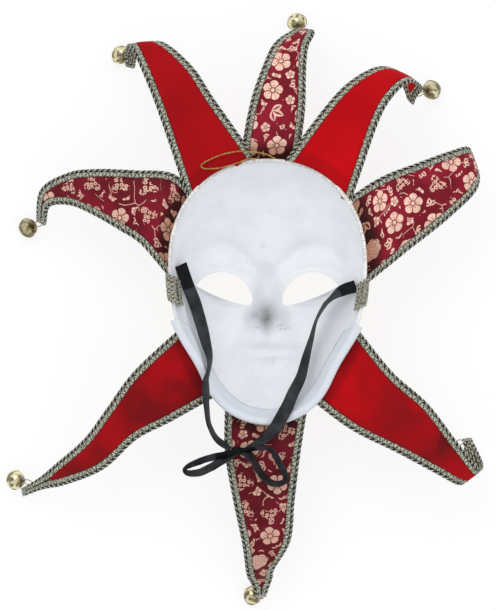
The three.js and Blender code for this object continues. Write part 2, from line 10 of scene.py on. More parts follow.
import bmesh
import bpy
from mathutils import Matrix, Vector, noise
from mathutils.bvhtree import BVHTree
from mathutils.geometry import interpolate_bezier
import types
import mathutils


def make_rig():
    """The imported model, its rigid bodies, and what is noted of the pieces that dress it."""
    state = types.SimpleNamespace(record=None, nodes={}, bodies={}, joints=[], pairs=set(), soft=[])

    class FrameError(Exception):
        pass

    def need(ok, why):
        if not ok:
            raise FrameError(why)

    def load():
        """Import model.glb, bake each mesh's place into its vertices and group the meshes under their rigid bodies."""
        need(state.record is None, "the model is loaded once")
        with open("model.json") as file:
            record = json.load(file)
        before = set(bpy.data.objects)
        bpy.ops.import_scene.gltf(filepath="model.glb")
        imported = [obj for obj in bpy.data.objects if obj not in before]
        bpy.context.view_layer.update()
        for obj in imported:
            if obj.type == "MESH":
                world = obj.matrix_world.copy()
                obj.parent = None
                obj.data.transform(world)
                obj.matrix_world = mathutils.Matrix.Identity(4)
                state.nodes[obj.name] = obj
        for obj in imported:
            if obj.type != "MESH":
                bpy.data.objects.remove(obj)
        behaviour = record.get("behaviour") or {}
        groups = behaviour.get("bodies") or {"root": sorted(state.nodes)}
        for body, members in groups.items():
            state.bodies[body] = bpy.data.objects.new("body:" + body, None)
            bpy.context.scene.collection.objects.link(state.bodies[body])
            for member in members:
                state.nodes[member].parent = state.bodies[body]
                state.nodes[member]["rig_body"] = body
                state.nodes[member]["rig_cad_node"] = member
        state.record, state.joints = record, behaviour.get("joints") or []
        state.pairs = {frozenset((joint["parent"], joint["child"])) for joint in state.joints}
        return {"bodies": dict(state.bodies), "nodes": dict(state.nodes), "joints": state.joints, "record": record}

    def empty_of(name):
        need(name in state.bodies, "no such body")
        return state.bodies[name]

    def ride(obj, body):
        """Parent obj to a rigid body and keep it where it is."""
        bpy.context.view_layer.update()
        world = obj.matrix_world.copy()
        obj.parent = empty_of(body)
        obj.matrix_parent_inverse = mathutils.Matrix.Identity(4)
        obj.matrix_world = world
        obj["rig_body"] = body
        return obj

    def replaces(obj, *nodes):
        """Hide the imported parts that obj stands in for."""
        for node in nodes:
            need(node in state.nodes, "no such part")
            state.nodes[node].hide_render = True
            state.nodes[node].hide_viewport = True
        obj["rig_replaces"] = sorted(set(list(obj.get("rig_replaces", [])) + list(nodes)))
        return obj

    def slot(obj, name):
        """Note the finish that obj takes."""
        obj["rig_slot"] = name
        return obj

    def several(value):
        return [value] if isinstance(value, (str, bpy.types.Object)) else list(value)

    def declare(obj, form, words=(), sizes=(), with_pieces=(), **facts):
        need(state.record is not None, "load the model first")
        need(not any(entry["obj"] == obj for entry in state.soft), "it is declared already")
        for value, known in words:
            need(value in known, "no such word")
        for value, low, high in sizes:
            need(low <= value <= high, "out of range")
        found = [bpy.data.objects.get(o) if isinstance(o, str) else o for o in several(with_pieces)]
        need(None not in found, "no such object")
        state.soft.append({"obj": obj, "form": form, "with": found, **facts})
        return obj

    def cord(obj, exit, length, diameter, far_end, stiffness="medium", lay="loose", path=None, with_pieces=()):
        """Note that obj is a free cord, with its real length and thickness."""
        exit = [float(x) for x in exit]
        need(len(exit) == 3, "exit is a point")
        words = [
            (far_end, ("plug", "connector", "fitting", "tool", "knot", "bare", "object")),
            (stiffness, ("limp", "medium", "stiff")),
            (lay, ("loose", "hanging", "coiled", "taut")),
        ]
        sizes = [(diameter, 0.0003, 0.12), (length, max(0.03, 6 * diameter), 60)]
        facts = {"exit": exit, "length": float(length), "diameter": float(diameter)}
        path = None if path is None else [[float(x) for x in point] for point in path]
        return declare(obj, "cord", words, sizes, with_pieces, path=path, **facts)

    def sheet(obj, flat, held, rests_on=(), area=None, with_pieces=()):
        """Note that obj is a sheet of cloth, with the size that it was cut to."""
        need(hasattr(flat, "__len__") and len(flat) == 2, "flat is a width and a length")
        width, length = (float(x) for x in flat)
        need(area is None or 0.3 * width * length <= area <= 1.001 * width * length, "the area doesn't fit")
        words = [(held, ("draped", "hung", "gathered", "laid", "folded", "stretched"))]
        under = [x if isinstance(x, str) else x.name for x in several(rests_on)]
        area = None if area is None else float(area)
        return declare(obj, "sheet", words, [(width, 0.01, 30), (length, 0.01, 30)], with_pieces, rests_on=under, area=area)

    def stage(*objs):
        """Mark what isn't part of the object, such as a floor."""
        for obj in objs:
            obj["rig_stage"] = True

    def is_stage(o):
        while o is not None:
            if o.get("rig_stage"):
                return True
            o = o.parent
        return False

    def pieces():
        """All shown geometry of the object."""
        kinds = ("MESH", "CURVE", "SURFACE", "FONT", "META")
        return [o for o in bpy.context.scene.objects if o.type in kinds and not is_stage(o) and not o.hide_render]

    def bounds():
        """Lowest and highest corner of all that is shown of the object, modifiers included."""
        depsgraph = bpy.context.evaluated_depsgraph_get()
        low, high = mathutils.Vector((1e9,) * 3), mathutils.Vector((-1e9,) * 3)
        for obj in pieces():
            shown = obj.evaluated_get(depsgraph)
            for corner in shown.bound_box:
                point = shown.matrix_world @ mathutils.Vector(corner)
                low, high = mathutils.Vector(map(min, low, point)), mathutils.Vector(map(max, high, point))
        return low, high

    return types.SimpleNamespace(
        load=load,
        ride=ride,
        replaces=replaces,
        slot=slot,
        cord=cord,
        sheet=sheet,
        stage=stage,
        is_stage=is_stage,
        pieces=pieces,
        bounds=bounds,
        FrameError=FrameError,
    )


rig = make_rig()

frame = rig.load()

bl_info = {
    "name": "Carnival Mask",
    "version": (1, 0, 0),
    "blender": (4, 5, 0),
    "location": "3D View > Sidebar > Mask",
    "description": "Makes a full-face carnival mask with cloth points, braid, bells and ribbons",
    "category": "Add Mesh",
}

MM = 0.001
TURN = 2 * math.pi
CAD_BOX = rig.bounds()

# Photograph's frame: its size in pixels, what one pixel measures, and the pixel over the origin
PHOTO = Vector((496, 610))
PIXEL = 0.84 * MM
ORIGIN_PIXEL = Vector((245, 307.5))
CAMERA_HEIGHT = 4.0
SCALE_HEIGHT = 75 * MM  # the height at which one pixel measures that much
SENSOR = 36  # millimetres across

# Stage: the floor's two greys and its glow, the sky, and each light's place, width, power and colour
FLOOR_GREYS = (0.22, 0.22, 0.22), (0.215, 0.215, 0.215)
FLOOR_GLOW = 0.78
SKY = (0.97, 0.985, 1, 1)
SKY_STRENGTH = 0.86
LIGHTS = {
    "key": ((-0.5, 1.5, 2.2), 1.6, 15, (1, 0.99, 0.97)),
    "fill": ((1.4, -1.2, 1.8), 1.8, 5, (0.96, 0.98, 1)),
}

# Face shell: the middle of its outline, and places measured from there
FACE = Vector((18.9, 14.7)) * MM
RIM_HEIGHT = 84 * MM
TEMPLE_Y = 22 * MM
FOREHEAD_POWER = 2.15
JAW_POWER = 2.02
JAW_PINCH = 6.5 * MM  # drawn in between cheek and chin
JAW_PINCH_Y = -64 * MM
JAW_PINCH_LENGTH = 24 * MM
DOME_POWER = 0.82
FLARE = 0.35  # share of a cone in the shell's form, beside its dome
SOFTNESS = 0.86  # the features are this much shallower inside the hollow
NOSE_TIP = Vector((0, -26)) * MM
NOSE_FLAT = 0.8 * MM
LUMPS = 0.45 * MM  # unevenness of the paper inside
ABOVE_ALL = 200 * MM  # higher than any piece
EYE = [  # knots and handles of the right eye hole, in millimetres
    ((60.5, 4), (54, 12), (46, 16), (37, 15.5)),
    ((37, 15.5), (25, 14), (15, 5), (12.5, -6.5)),
    ((12.5, -6.5), (12.5, -10), (13.8, -12.5), (17, -13)),
    ((17, -13), (28, -11), (48, -5), (60.5, 4)),
]

# Trims along the rim, angles round the outline in degrees
BAND_FROM = 211
BAND_TO = 326
BAND_DEPTH = 22 * MM
BAND_LIP = 2.6 * MM  # of the band outside the rim
BAND_CLEAR = 0.6 * MM  # between the band and the wall
BRAID_FROM = -24.5
BRAID_TO = 201.6
BRAID_DEPTH = 14 * MM
BRAID_CLEAR = 1.1 * MM  # between the braid and the wall
BRAID_STEP = 0.6 * MM  # between two points of a strand
YARN = 0.72 * MM  # radius of a strand
TURNED = 18  # stretch of rim under each end that is turned over it
LANES = 6  # rows of plait side by side on a turned end
LEAN = 6  # how far the rows lean towards the chin, from the outermost to the innermost
TURNED_DEPTHS = (9 * MM, 16 * MM)  # how far down the hollow the right and the left end reach
GILT_FROM = 5  # stretch of rim with rubbed gold paint
GILT_TO = 178

CROWN = 0.05  # rise of a point's middle, as a part of its width
INTO_WALL = 1 * MM  # how far the points and their braid run into the wall

# Cloth points: stations from the root to the tip, (x, y, z, width, direction across in degrees), with
# lengths in millimetres
POINTS = {
    "upper_left": [
        (-20, 108, 80, 68, 38),
        (-47, 163, 83, 49, 28),
        (-63, 195, 78, 41, 20),
        (-83, 221, 62, 27, 10),
        (-95, 217, 39, 13, -8),
        (-98, 205, 20, 7, -15),
    ],
    "top": [
        (19, 116, 71, 50, 3),
        (27, 167, 73, 47, -6),
        (33, 200, 69, 37, -8),
        (39, 221, 58, 29, -8),
        (50, 234, 42, 18, -6),
        (46, 235, 20, 7, 0),
    ],
    "upper_right": [
        (60, 104, 80, 66, -31),
        (90, 162, 83, 46, -20),
        (108, 185, 78, 37, -22),
        (126, 196, 67, 30, -25),
        (140, 192, 46, 24, -32),
        (140, 184, 28, 16, -38),
        (141, 176, 16, 7, -48),
    ],
    "right": [
        (91, 53, 76, 82, -89),
        (125, 78, 78, 67, -73),
        (157, 98, 77, 54, -57),
        (183, 114, 69, 41, -60),
        (193, 123, 52, 26, -70),
        (190, 119, 20, 7, -75),
    ],
    "lower_right": [
        (73, -46, 74, 72, -125),
        (106, -78, 78, 60, -126),
        (140, -101, 79.5, 49, -123),
        (168, -125, 75, 33, -124),
        (188, -142, 60, 22, -138),
        (194, -137, 40, 18, -150),
        (192, -122, 26, 11, -165),
        (189, -112, 17, 7, -172),
    ],
    "bottom": [
        (18, -82, 71, 70, -180),
        (15, -121, 71, 64, -179),
        (16, -162, 68, 52, -178),
        (18, -198, 54, 41, -176),
        (13, -224, 36, 24, -170),
        (14, -232, 25, 19, -168),
        (14, -247, 19, 7, -166),
    ],
    "lower_left": [
        (-35, -43, 75, 66, 120),
        (-77, -74, 78, 53, 125),
        (-103, -97, 75, 37, 131),
        (-127, -123, 61, 31, 119),
        (-156, -141, 38, 20, 110),
        (-174, -150, 23, 10, 107),
        (-190, -158, 9, 6, 105),
    ],
    "left": [
        (-46, 50, 75, 80, 84),
        (-72, 81, 77, 67, 68),
        (-99, 90, 77, 52, 76),
        (-127, 97, 68, 39, 90),
        (-148, 100, 54, 28, 94),
        (-169, 93, 38, 17, 118),
        (-174, 72, 19, 8, 150),
    ],
}
BELLS = {  # the middle of each bell, from above
    "upper_left": (-106, 216),
    "top": (44.5, 243.5),
    "upper_right": (159.5, 186),
    "right": (182, 113),
    "lower_right": (173.5, -120),
    "bottom": (6.5, -246),
    "lower_left": (-196, -147.5),
    "left": (-185.5, 68),
}
SEWN = {  # where a bell's wire loop is sewn on, if not to the tip
    "upper_right": (147.5, 181, 20),
    "lower_right": (185, -114, 17),
    "lower_left": (-182, -149.5, 16.5),
}
# Where the print of each brocade point lies on its cloth: shift in millimetres, and turn in degrees
BROCADE = {
    "top": ((12, 31), 100),
    "right": ((64, 9), 15),
    "bottom": ((5, 83), 80),
    "left": ((97, 52), 10),
}
PATCHY_SHADE = ("lower_left", "lower_right")  # velvet points whose painted shade is patchy and deeper at the wall
# Painted shade on each cloth point, in tones that stand for how the light falls on it
TONE_FROM = 95 * MM  # from the middle of the face to each cloth's first tone
TONE_STEP = 50 * MM  # from one tone to the next
PAINTED_SHADE_TONES = {  # how much darker each cloth is, in steps from the shell to its tip
    "upper_left": (0.34, 0.37, 0.39, 0.4),
    "top": (0, 0.08, 0.12, 0.15),
    "upper_right": (0, 0.08, 0.15, 0.2),
    "right": (0.1, 0.12, 0.14, 0.15),
    "lower_right": (0.22, 0.4, 0.78, 0.05),
    "bottom": (0.5, 0.52, 0.54, 0.55),
    "lower_left": (0.56, 0.58, 0.6, 0.62),
    "left": (0.32, 0.35, 0.38, 0.4),
}
DULL = {"left": 0.5, "upper_right": 0.3}  # bells darkened more by patina and painted dark reflection, and how much
DULL_BRASS = 0.12  # the other bells

# Second colours of the finishes, where they are stained or show wear, or where shade or a dark reflection is painted
GREYED_WHITE = (0.76, 0.79, 0.84)
SCUFF = (0.6, 0.62, 0.67)
PIT_GREY = (0.2, 0.2, 0.195)
SPECK = (0.12, 0.12, 0.11)
SHADE_GREY = (0.36, 0.38, 0.42)
OLD_IVORY = (0.7, 0.6, 0.43)
CRACK = (0.36, 0.28, 0.18)
RUBBED_GOLD = (0.42, 0.34, 0.25)
BAND_STAIN = (0.7, 0.72, 0.8)
VELVET_PAINTED_SHADE = (0.08, 0.007, 0.009)
VELVET_SHADE = (0.1, 0.004, 0.006)
VELVET_SHEEN = (1, 0.2, 0.15, 1)
SATIN_PAINTED_SHADE = (0.02, 0.001, 0.001)
PRINT_PAINTED_SHADE = (0.3, 0.09, 0.03)
STRAND_SHADE = (0.06, 0.065, 0.045)
DARK_BRONZE_AND_REFLECTION = (0.09, 0.065, 0.02)
WIRE_MARKS = (0.2, 0.17, 0.11)
CORD_SHADE = (0.22, 0.09, 0.01)

# Ribbon routes in metres, with the direction across and its rise in degrees
RIBBON_LEFT = [
    (-0.0538, 0.036, 0.075, 25, -20),
    (-0.0487, 0.0206, 0.068, 20, -20),
    (-0.0428, 0.0055, 0.064, 18, -18),
    (-0.0371, -0.013, 0.063, 14, -25),
    (-0.0326, -0.03, 0.067, 10, -42),
    (-0.0296, -0.042, 0.075, 8, -62),
    (-0.03, -0.052, 0.084, -9, -74),
    (-0.0324, -0.06, 0.0905, -6, -66),
    (-0.0325, -0.07, 0.0905, 2, -58),
    (-0.0319, -0.083, 0.087, 6, -66),
    (-0.0298, -0.098, 0.082, 16, -70),
    (-0.0245, -0.1088, 0.0802, 38, -66),
    (-0.0175, -0.115, 0.0804, 54, -55),
    (-0.012, -0.1186, 0.0804, 62, -40),
]
RIBBON_RIGHT = [
    (0.0932, 0.0178, 0.075, 107, -20),
    (0.0832, 0.0147, 0.067, 116, -30),
    (0.0739, 0.0084, 0.061, 130, -66),
    (0.0672, 0.0013, 0.057, 145, -73),
    (0.0605, -0.0109, 0.054, 156, -79),
    (0.056, -0.0273, 0.054, 162, -68),
    (0.0517, -0.0424, 0.056, 164, -54),
    (0.0477, -0.0575, 0.061, 162, -42),
    (0.0403, -0.0727, 0.07, 157, -28),
    (0.0357, -0.0827, 0.08, 153, -22),
    (0.0302, -0.0928, 0.0885, 149, -12),
    (0.025, -0.1016, 0.086, 144, -20),
    (0.0178, -0.1088, 0.0815, 133, -42),
    (0.0092, -0.1147, 0.0806, 122, -50),
    (0.001, -0.1187, 0.0804, 116, -40),
]
BOW_LOOPS = [
    [
        (-0.0045, -0.1205, 0.081, 104, 10),
        (-0.0143, -0.123, 0.083, 102, 50),
        (-0.0286, -0.1256, 0.0825, 104, 58),
        (-0.0395, -0.1294, 0.079, 111, 60),
        (-0.0479, -0.1331, 0.0755, 121, 68),
        (-0.0512, -0.1365, 0.074, 184, 75),
        (-0.0475, -0.1395, 0.0735, 260, 66),
        (-0.038, -0.1388, 0.075, 286, 58),
        (-0.027, -0.1335, 0.0775, 299, 55),
        (-0.0176, -0.1277, 0.0795, 300, 50),
        (-0.0065, -0.1215, 0.0808, 299, 15),
    ],
    [
        (-0.008, -0.1204, 0.0812, 91, 10),
        (-0.0017, -0.1203, 0.0832, 96, 55),
        (0.0084, -0.1188, 0.0847, 96, 72),
        (0.0183, -0.1184, 0.0852, 79, 72),
        (0.0235, -0.1214, 0.085, 40, 65),
        (0.0286, -0.1306, 0.084, 28, 62),
        (0.033, -0.1395, 0.0825, 19, 62),
        (0.0334, -0.1449, 0.0815, -33, 66),
        (0.0277, -0.1478, 0.0805, -87, 66),
        (0.0202, -0.1457, 0.08, -122, 62),
        (0.0134, -0.139, 0.0803, -143, 60),
        (0.0084, -0.1298, 0.081, -147, 60),
        (0.003, -0.1234, 0.0813, -124, 50),
        (-0.006, -0.1202, 0.081, -108, 10),
    ],
]
KNOT = Vector((-0.0063, -0.1202, 0.081))
KNOT_SIZE = Vector((4.6, 3.6, 3.4)) * MM
GATHERED = 0.4  # share of a ribbon's width that is left at the knot
GATHER_REACH = 0.07  # part of a ribbon's length over which it narrows
HANGING_LOOP = [
    (0.025, 0.125, 0.082),
    (0.016, 0.129, 0.084),
    (-0.002, 0.131, 0.0865),
    (-0.016, 0.129, 0.0874),
    (-0.027, 0.125, 0.087),
    (-0.036, 0.12, 0.0864),
    (-0.034, 0.1164, 0.0868),
    (-0.022, 0.1168, 0.0874),
    (-0.008, 0.1205, 0.0865),
    (0.002, 0.1244, 0.0834),
    (0.009, 0.1248, 0.0818),
]


def size(name, description, default):
    return bpy.props.FloatProperty(
        name=name, description=description, default=default, min=0, precision=4, unit="LENGTH"
    )


def colour(name, description, default):
    return bpy.props.FloatVectorProperty(
        name=name, description=description, default=default, size=3, min=0, max=1, subtype="COLOR"
    )


class MaskSizes(bpy.types.PropertyGroup):
    """Sizes of the face shell and of everything sewn, glued or tied to it."""

    half_width: size("Half width", "Middle of the face to a temple", 83.5 * MM)
    forehead: size("Forehead", "Temple line up to the crown", 88.5 * MM)
    jaw: size("Jaw", "Temple line down to the chin", 133 * MM)
    rim: size("Rim height", "Mean height of the rim above the surface it lies on", RIM_HEIGHT)
    rim_wave: size("Rim wave", "How much higher the rim is at the temples", 4 * MM)
    wall: size("Wall", "Thickness of the papier-mache", 3 * MM)
    braid: size("Braid width", "Width of the gimp braid", 7.4 * MM)
    braid_thick: size("Braid thickness", "Thickness of the gimp braid", 2.6 * MM)
    cloth_thick: size("Cloth thickness", "The two layers of a cloth point together", 1.7 * MM)
    band_thick: size("Band thickness", "Thickness of the white band on the jaw", 0.8 * MM)
    ribbon: size("Ribbon width", "Width of the tie ribbons", 11 * MM)
    ribbon_thick: size("Ribbon thickness", "Thickness of the tie ribbons", 0.45 * MM)
    cord: size("Gold cord", "Diameter of the hanging loop's cord", 1.3 * MM)
    bell: size("Bell radius", "Radius of a jingle bell", 8 * MM)
    bell_wall: size("Bell wall", "Thickness of a bell's brass", 0.8 * MM)
    bell_slot: size("Bell slot", "Width of a bell's slot", 1.5 * MM)
    bell_flat: size("Bell flat", "How much of a bell is flattened where it rests", 0.7 * MM)
    eyelet: size("Eyelet radius", "Half the width of the wire loops", 2.6 * MM)
    eyelet_wire: size("Eyelet wire", "Thickness of the wire loops", 0.9 * MM)


class MaskColours(bpy.types.PropertyGroup):
    """Colours of the finishes."""

    paper: colour("Paper", "White paint inside the hollow", (0.87, 0.885, 0.91))
    front: colour("Front", "Ivory paint on the front", (0.82, 0.76, 0.62))
    gilt: colour("Gilt", "Gold paint on the front and the rim", (0.62, 0.43, 0.17))
    band: colour("Band", "White cloth band on the jaw", (0.74, 0.77, 0.83))
    velvet: colour("Velvet", "Red velvet of four points", (0.62, 0.003, 0.007))
    brocade: colour("Brocade", "Crimson satin of four points", (0.18, 0.004, 0.013))
    print: colour("Print", "Gold flowers on the satin", (1.0, 0.66, 0.53))
    braid_pale: colour("Braid", "Silver-gold strands of the braid", (0.84, 0.85, 0.73))
    braid_dark: colour("Dark strand", "Dark strands of the braid", (0.016, 0.016, 0.012))
    brass: colour("Brass", "Jingle bells", (0.95, 0.86, 0.56))
    wire: colour("Wire", "Wire loops of the bells", (0.5, 0.44, 0.3))
    ribbon: colour("Ribbon", "Black satin of the ties", (0.005, 0.0054, 0.0062))
    cord: colour("Gold cord", "Gold cord of the hanging loop", (0.95, 0.6, 0.18))


def sizes():
    return bpy.context.scene.mask_sizes


def colours():
    return bpy.context.scene.mask_colours


# Shape of the face shell


def hump(x, width):
    """1 at x = 0, falling to nothing on both sides over a width."""
    return math.exp(-((x / width) ** 2))


def halve(low, high, times, before):
    """Upper end of a range that is halved about the place where before(x) turns false."""
    for _ in range(times):
        middle = (low + high) / 2
        if before(middle):
            low = middle
        else:
            high = middle
    return high


def relief(x, y):
    """How far the features stand out of the face at a place on it. Its numbers are in millimetres."""
    x, y = x / MM, y / MM
    side = abs(x)
    tip = NOSE_TIP.y / MM
    down = min(max((24 - y) / (24 - tip), 0), 1)
    under = hump(y - tip, 10) if y < tip else 1
    bridge = 21 * down**0.9 * under * math.exp(-((side / (7 + 4.5 * down)) ** 2.6))
    wing = 9 * hump(side - 13, 6) * hump(y - tip, 8)
    brow = 6 * hump(y - 38 + 0.02 * (side - 41) ** 2, 8) * hump(side - 32, 30)
    socket = -8 * hump(side - 34, 22) * hump(y - 2, 14)
    cheek = 5 * hump(side - 46, 18) * hump(y + 26, 18)
    lips = 7 * hump(x, 21) * (hump(y + 51, 5) + 1.1 * hump(y + 62, 6))
    chin = 9 * hump(x, 20) * hump(y + 88, 13)
    fold = -2.5 * hump(side - 27 + 0.3 * (y + 40), 5) * hump(y + 44, 14)
    return (bridge + wing + brow + socket + cheek + lips + chin + fold) * MM


def fine_relief(x, y):
    """Small features: brow crests, eyelids, nostrils, philtrum and the line of the mouth."""
    x, y = x / MM, y / MM
    side = abs(x)
    crest = 1.4 * hump(y - 39 + 0.021 * (side - 41) ** 2, 3.2) * hump(side - 36, 20)
    lid = math.hypot((side - 37) / 27, (y - 2.5 - 0.1 * (side - 37)) / 15.5)
    lids = 1.3 * hump(lid - 1.1, 0.11)
    nostril = -2.6 * hump(side - 7, 3.2) * hump(y + 34, 3.2)
    groove = -1.1 * hump(x, 2.6) * hump(y + 43, 5)
    mouth = -2.4 * hump(y + 56.6 - 0.004 * x * x, 1.5) * hump(x, 17)
    corner = -1.2 * hump(side - 21, 3) * hump(y + 55, 3.5)
    return (crest + lids + nostril + groove + mouth + corner) * MM


DOME = RIM_HEIGHT + NOSE_FLAT - relief(NOSE_TIP.x, NOSE_TIP.y)


def outline(angle):
    """The face's outline at an angle round it, from the middle of the face."""
    s = sizes()
    across, up = math.cos(angle), math.sin(angle)
    height, power = (s.forehead, FOREHEAD_POWER) if up > 0 else (s.jaw, JAW_POWER)
    whole = (abs(across) / s.half_width) ** power + (abs(up) / height) ** power
    reach = whole ** (-1 / power)
    y = TEMPLE_Y + reach * up
    pinch = JAW_PINCH * hump(y - JAW_PINCH_Y, JAW_PINCH_LENGTH)
    return Vector((reach * across - math.copysign(pinch, across), y))


def outward(angle):
    """The direction square to the outline, away from the face."""
    step = 0.05
    along = (outline(angle + step) - outline(angle - step)).normalized()
    return Vector((along.y, -along.x))


def angle_of(co):
    """The angle round the outline at which a place lies."""
    return math.atan2(co.y - FACE.y - TEMPLE_Y, co.x - FACE.x)


def rim_height(angle, part=1.0):
    """Height of the rim, whose wave fades out on the way in from it, part 1, to the nose tip, part 0."""
    return sizes().rim + sizes().rim_wave * part**2 * math.cos(2 * angle)


def shell_point(level, angle, inside=False):
    """A point on the wall: level 0 is the nose tip and level 1 the rim."""
    inset = sizes().wall if inside else 0
    softness, fine = (SOFTNESS, 0.7) if inside else (1, 1)
    phi = level * math.pi / 2
    part = (1 - FLARE) * math.sin(phi) + FLARE * level
    edge = outline(angle) - outward(angle) * inset
    place = NOSE_TIP.lerp(edge, part)
    fade = 1 - part**5
    deep = (DOME - inset) * max(math.cos(phi), 0) ** DOME_POWER
    form = softness * fade * (relief(*place) + fine * fine_relief(*place))
    z = rim_height(angle, part) - (0 if level >= 1 else deep + form)
    where = Vector((place.x + FACE.x, place.y + FACE.y, z))
    if inside and level < 1:
        where.z += fade * LUMPS * (noise.noise(where / (17 * MM)) + 0.4 * noise.noise(where / (5 * MM)))
    where.z = max(where.z, 0)
    return where


def over_rim(angle, out, up):
    """A place by the rim's outer edge."""
    edge = outline(angle) + FACE + outward(angle) * out
    return Vector((edge.x, edge.y, rim_height(angle) + up))


def beside_wall(angle, depth, proud):
    """A place beside the rim: proud of the outer or inner wall, at a depth below the rim."""
    z = rim_height(angle) - depth
    level = halve(0.5, 1.0, 11, lambda level: shell_point(level, angle, proud < 0).z < z)
    at = shell_point(level, angle, proud < 0)
    out = outward(angle)
    return Vector((at.x + out.x * proud, at.y + out.y * proud, z))


# Mesh helpers


def bowl(bm, sectors, levels, inside):
    """Half a sphere shaped into the outer or the inner wall of the shell."""
    made = bmesh.ops.create_uvsphere(bm, u_segments=sectors, v_segments=2 * levels, radius=1)
    verts = made["verts"]
    bmesh.ops.delete(bm, geom=[v for v in verts if v.co.z > 1e-4], context="VERTS")
    kept = [v for v in verts if v.is_valid]
    for vert in kept:
        level = math.acos(min(max(-vert.co.z, -1), 1)) / (math.pi / 2)
        vert.co = shell_point(min(level, 1), math.atan2(vert.co.y, vert.co.x), inside)
    return kept


def grid(bm, along, across, place, flat, material=0):
    """A sheet of faces: place(u, v) gives its points and flat(u, v) its UV map, with u and v from 0 to 1."""
    layer = bm.loops.layers.uv.verify()
    made = bmesh.ops.create_grid(bm, x_segments=along, y_segments=across, size=0.5)
    verts = made["verts"]
    for face in {f for v in verts for f in v.link_faces}:
        face.material_index = material
        for loop in face.loops:
            loop[layer].uv = flat(loop.vert.co.x + 0.5, loop.vert.co.y + 0.5)
    for vert in verts:
        vert.co = place(vert.co.x + 0.5, vert.co.y + 0.5)
    return verts


def distances(points):
    """How far along the line through them each point lies."""
    reached = [0.0]
    for a, b in zip(points, points[1:]):
        reached.append(reached[-1] + (b - a).length)
    return reached


def tube(bm, points, radius, material=0, sides=6):
    """A round tube along a list of points, closed to a point at its ends."""
    steps = len(points)
    tangents = []
    for i in range(steps):
        step = points[min(i + 1, steps - 1)] - points[max(i - 1, 0)]
        tangents.append(step.normalized())
    normal = tangents[0].orthogonal().normalized()
    frames = []
    for tangent in tangents:
        normal = (normal - tangent * normal.dot(tangent)).normalized()
        frames.append((normal, tangent.cross(normal)))
    length = distances(points)
    rings = [0, *range(steps), steps - 1]

    def place(u, v):
        ring = round(u * (steps + 1))
        first, second = frames[rings[ring]]
        reach = radius if 0 < ring <= steps else 0
        turn = v * TURN
        return points[rings[ring]] + (first * math.cos(turn) + second * math.sin(turn)) * reach

    def flat(u, v):
        return length[rings[round(u * (steps + 1))]], v * TURN * radius

    verts = grid(bm, steps + 1, sides, place, flat, material)
    bmesh.ops.remove_doubles(bm, verts=verts, dist=1e-7)


def piece_from(name, bm, *finishes):
    """Ends a bmesh as a named piece, smoothly shaded."""
    bmesh.ops.recalc_face_normals(bm, faces=bm.faces)
    mesh = bpy.data.meshes.new(name)
    bm.to_mesh(mesh)
    bm.free()
    for finish in finishes:
        mesh.materials.append(finish)
    mesh.shade_smooth()
    piece = bpy.data.objects.new(name, mesh)
    bpy.context.scene.collection.objects.link(piece)
    return piece


def settle(piece, slot, *nodes):
    """Puts a piece on the mask in the place of its solids."""
    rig.ride(piece, "root")
    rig.replaces(piece, *nodes)
    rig.slot(piece, slot)


def cut(piece, *cutters):
    """Takes the cutters' shapes out of a piece for good."""
    for cutter in cutters:
        cutting = piece.modifiers.new("cut", "BOOLEAN")
        cutting.operation = "DIFFERENCE"
        cutting.solver = "EXACT"
        cutting.object = cutter
    bpy.context.view_layer.update()
    shaped = piece.evaluated_get(bpy.context.evaluated_depsgraph_get())
    mesh = bpy.data.meshes.new_from_object(shaped)
    piece.modifiers.clear()
    piece.data = mesh
    for cutter in cutters:
        bpy.data.objects.remove(cutter)


def paint(piece, name, value):
    """Stores value(vertex) of each vertex under a name, for the material to read."""
    attribute = piece.data.attributes.new(name, "FLOAT", "POINT")
    attribute.data.foreach_set("value", [value(v) for v in piece.data.vertices])


def step_at(t, steps):
    """Which of a number of steps from 0 to 1 t lies in, and how far along that step."""
    place = min(max(t, 0), 1) * steps
    i = min(int(place), steps - 1)
    return i, place - i


def catmull(points, t):
    """A point on the smooth curve through the points, with t from 0 to 1."""
    last = len(points) - 1
    i, w = step_at(t, last)
    b, c = points[i], points[i + 1]
    a = points[i - 1] if i > 0 else b * 2 - c
    d = points[i + 2] if i + 2 <= last else c * 2 - b
    start, end = (c - a) * 0.5, (d - b) * 0.5
    return b + start * w + ((c - b) * 3 - start * 2 - end) * w**2 + ((b - c) * 2 + start + end) * w**3


def slope(points, t):
    """The direction of that curve."""
    step = 1e-4
    return (catmull(points, t + step) - catmull(points, t - step)).normalized()


class Strip:
    """The surface of a cloth point, from its stations."""

    def __init__(self, stations):
        self.line = [Vector(s[:3]) * MM for s in stations]
        self.make = [Vector((s[3] * MM, math.radians(s[4]), 0)) for s in stations]
        self.samples = 240
        self.length = distances([catmull(self.line, i / self.samples) for i in range(self.samples + 1)])

    def width(self, t):
        return catmull(self.make, t).x

    def along(self, t):
        """Length of the middle line from the root."""
        i, part = step_at(t, self.samples)
        return self.length[i] + (self.length[i + 1] - self.length[i]) * part

    def at(self, t, aside, up=0.0):
        """A place on the crowned surface, aside from the middle line and up from the cloth."""
        across = catmull(self.make, t)
        side = Vector((math.cos(across.y), math.sin(across.y), 0))
        normal = side.cross(slope(self.line, t)).normalized()
        half = across.x / 2
        rise = CROWN * across.x * (1 - (aside / half) ** 2)
        return catmull(self.line, t) + side * aside + normal * (up + rise)


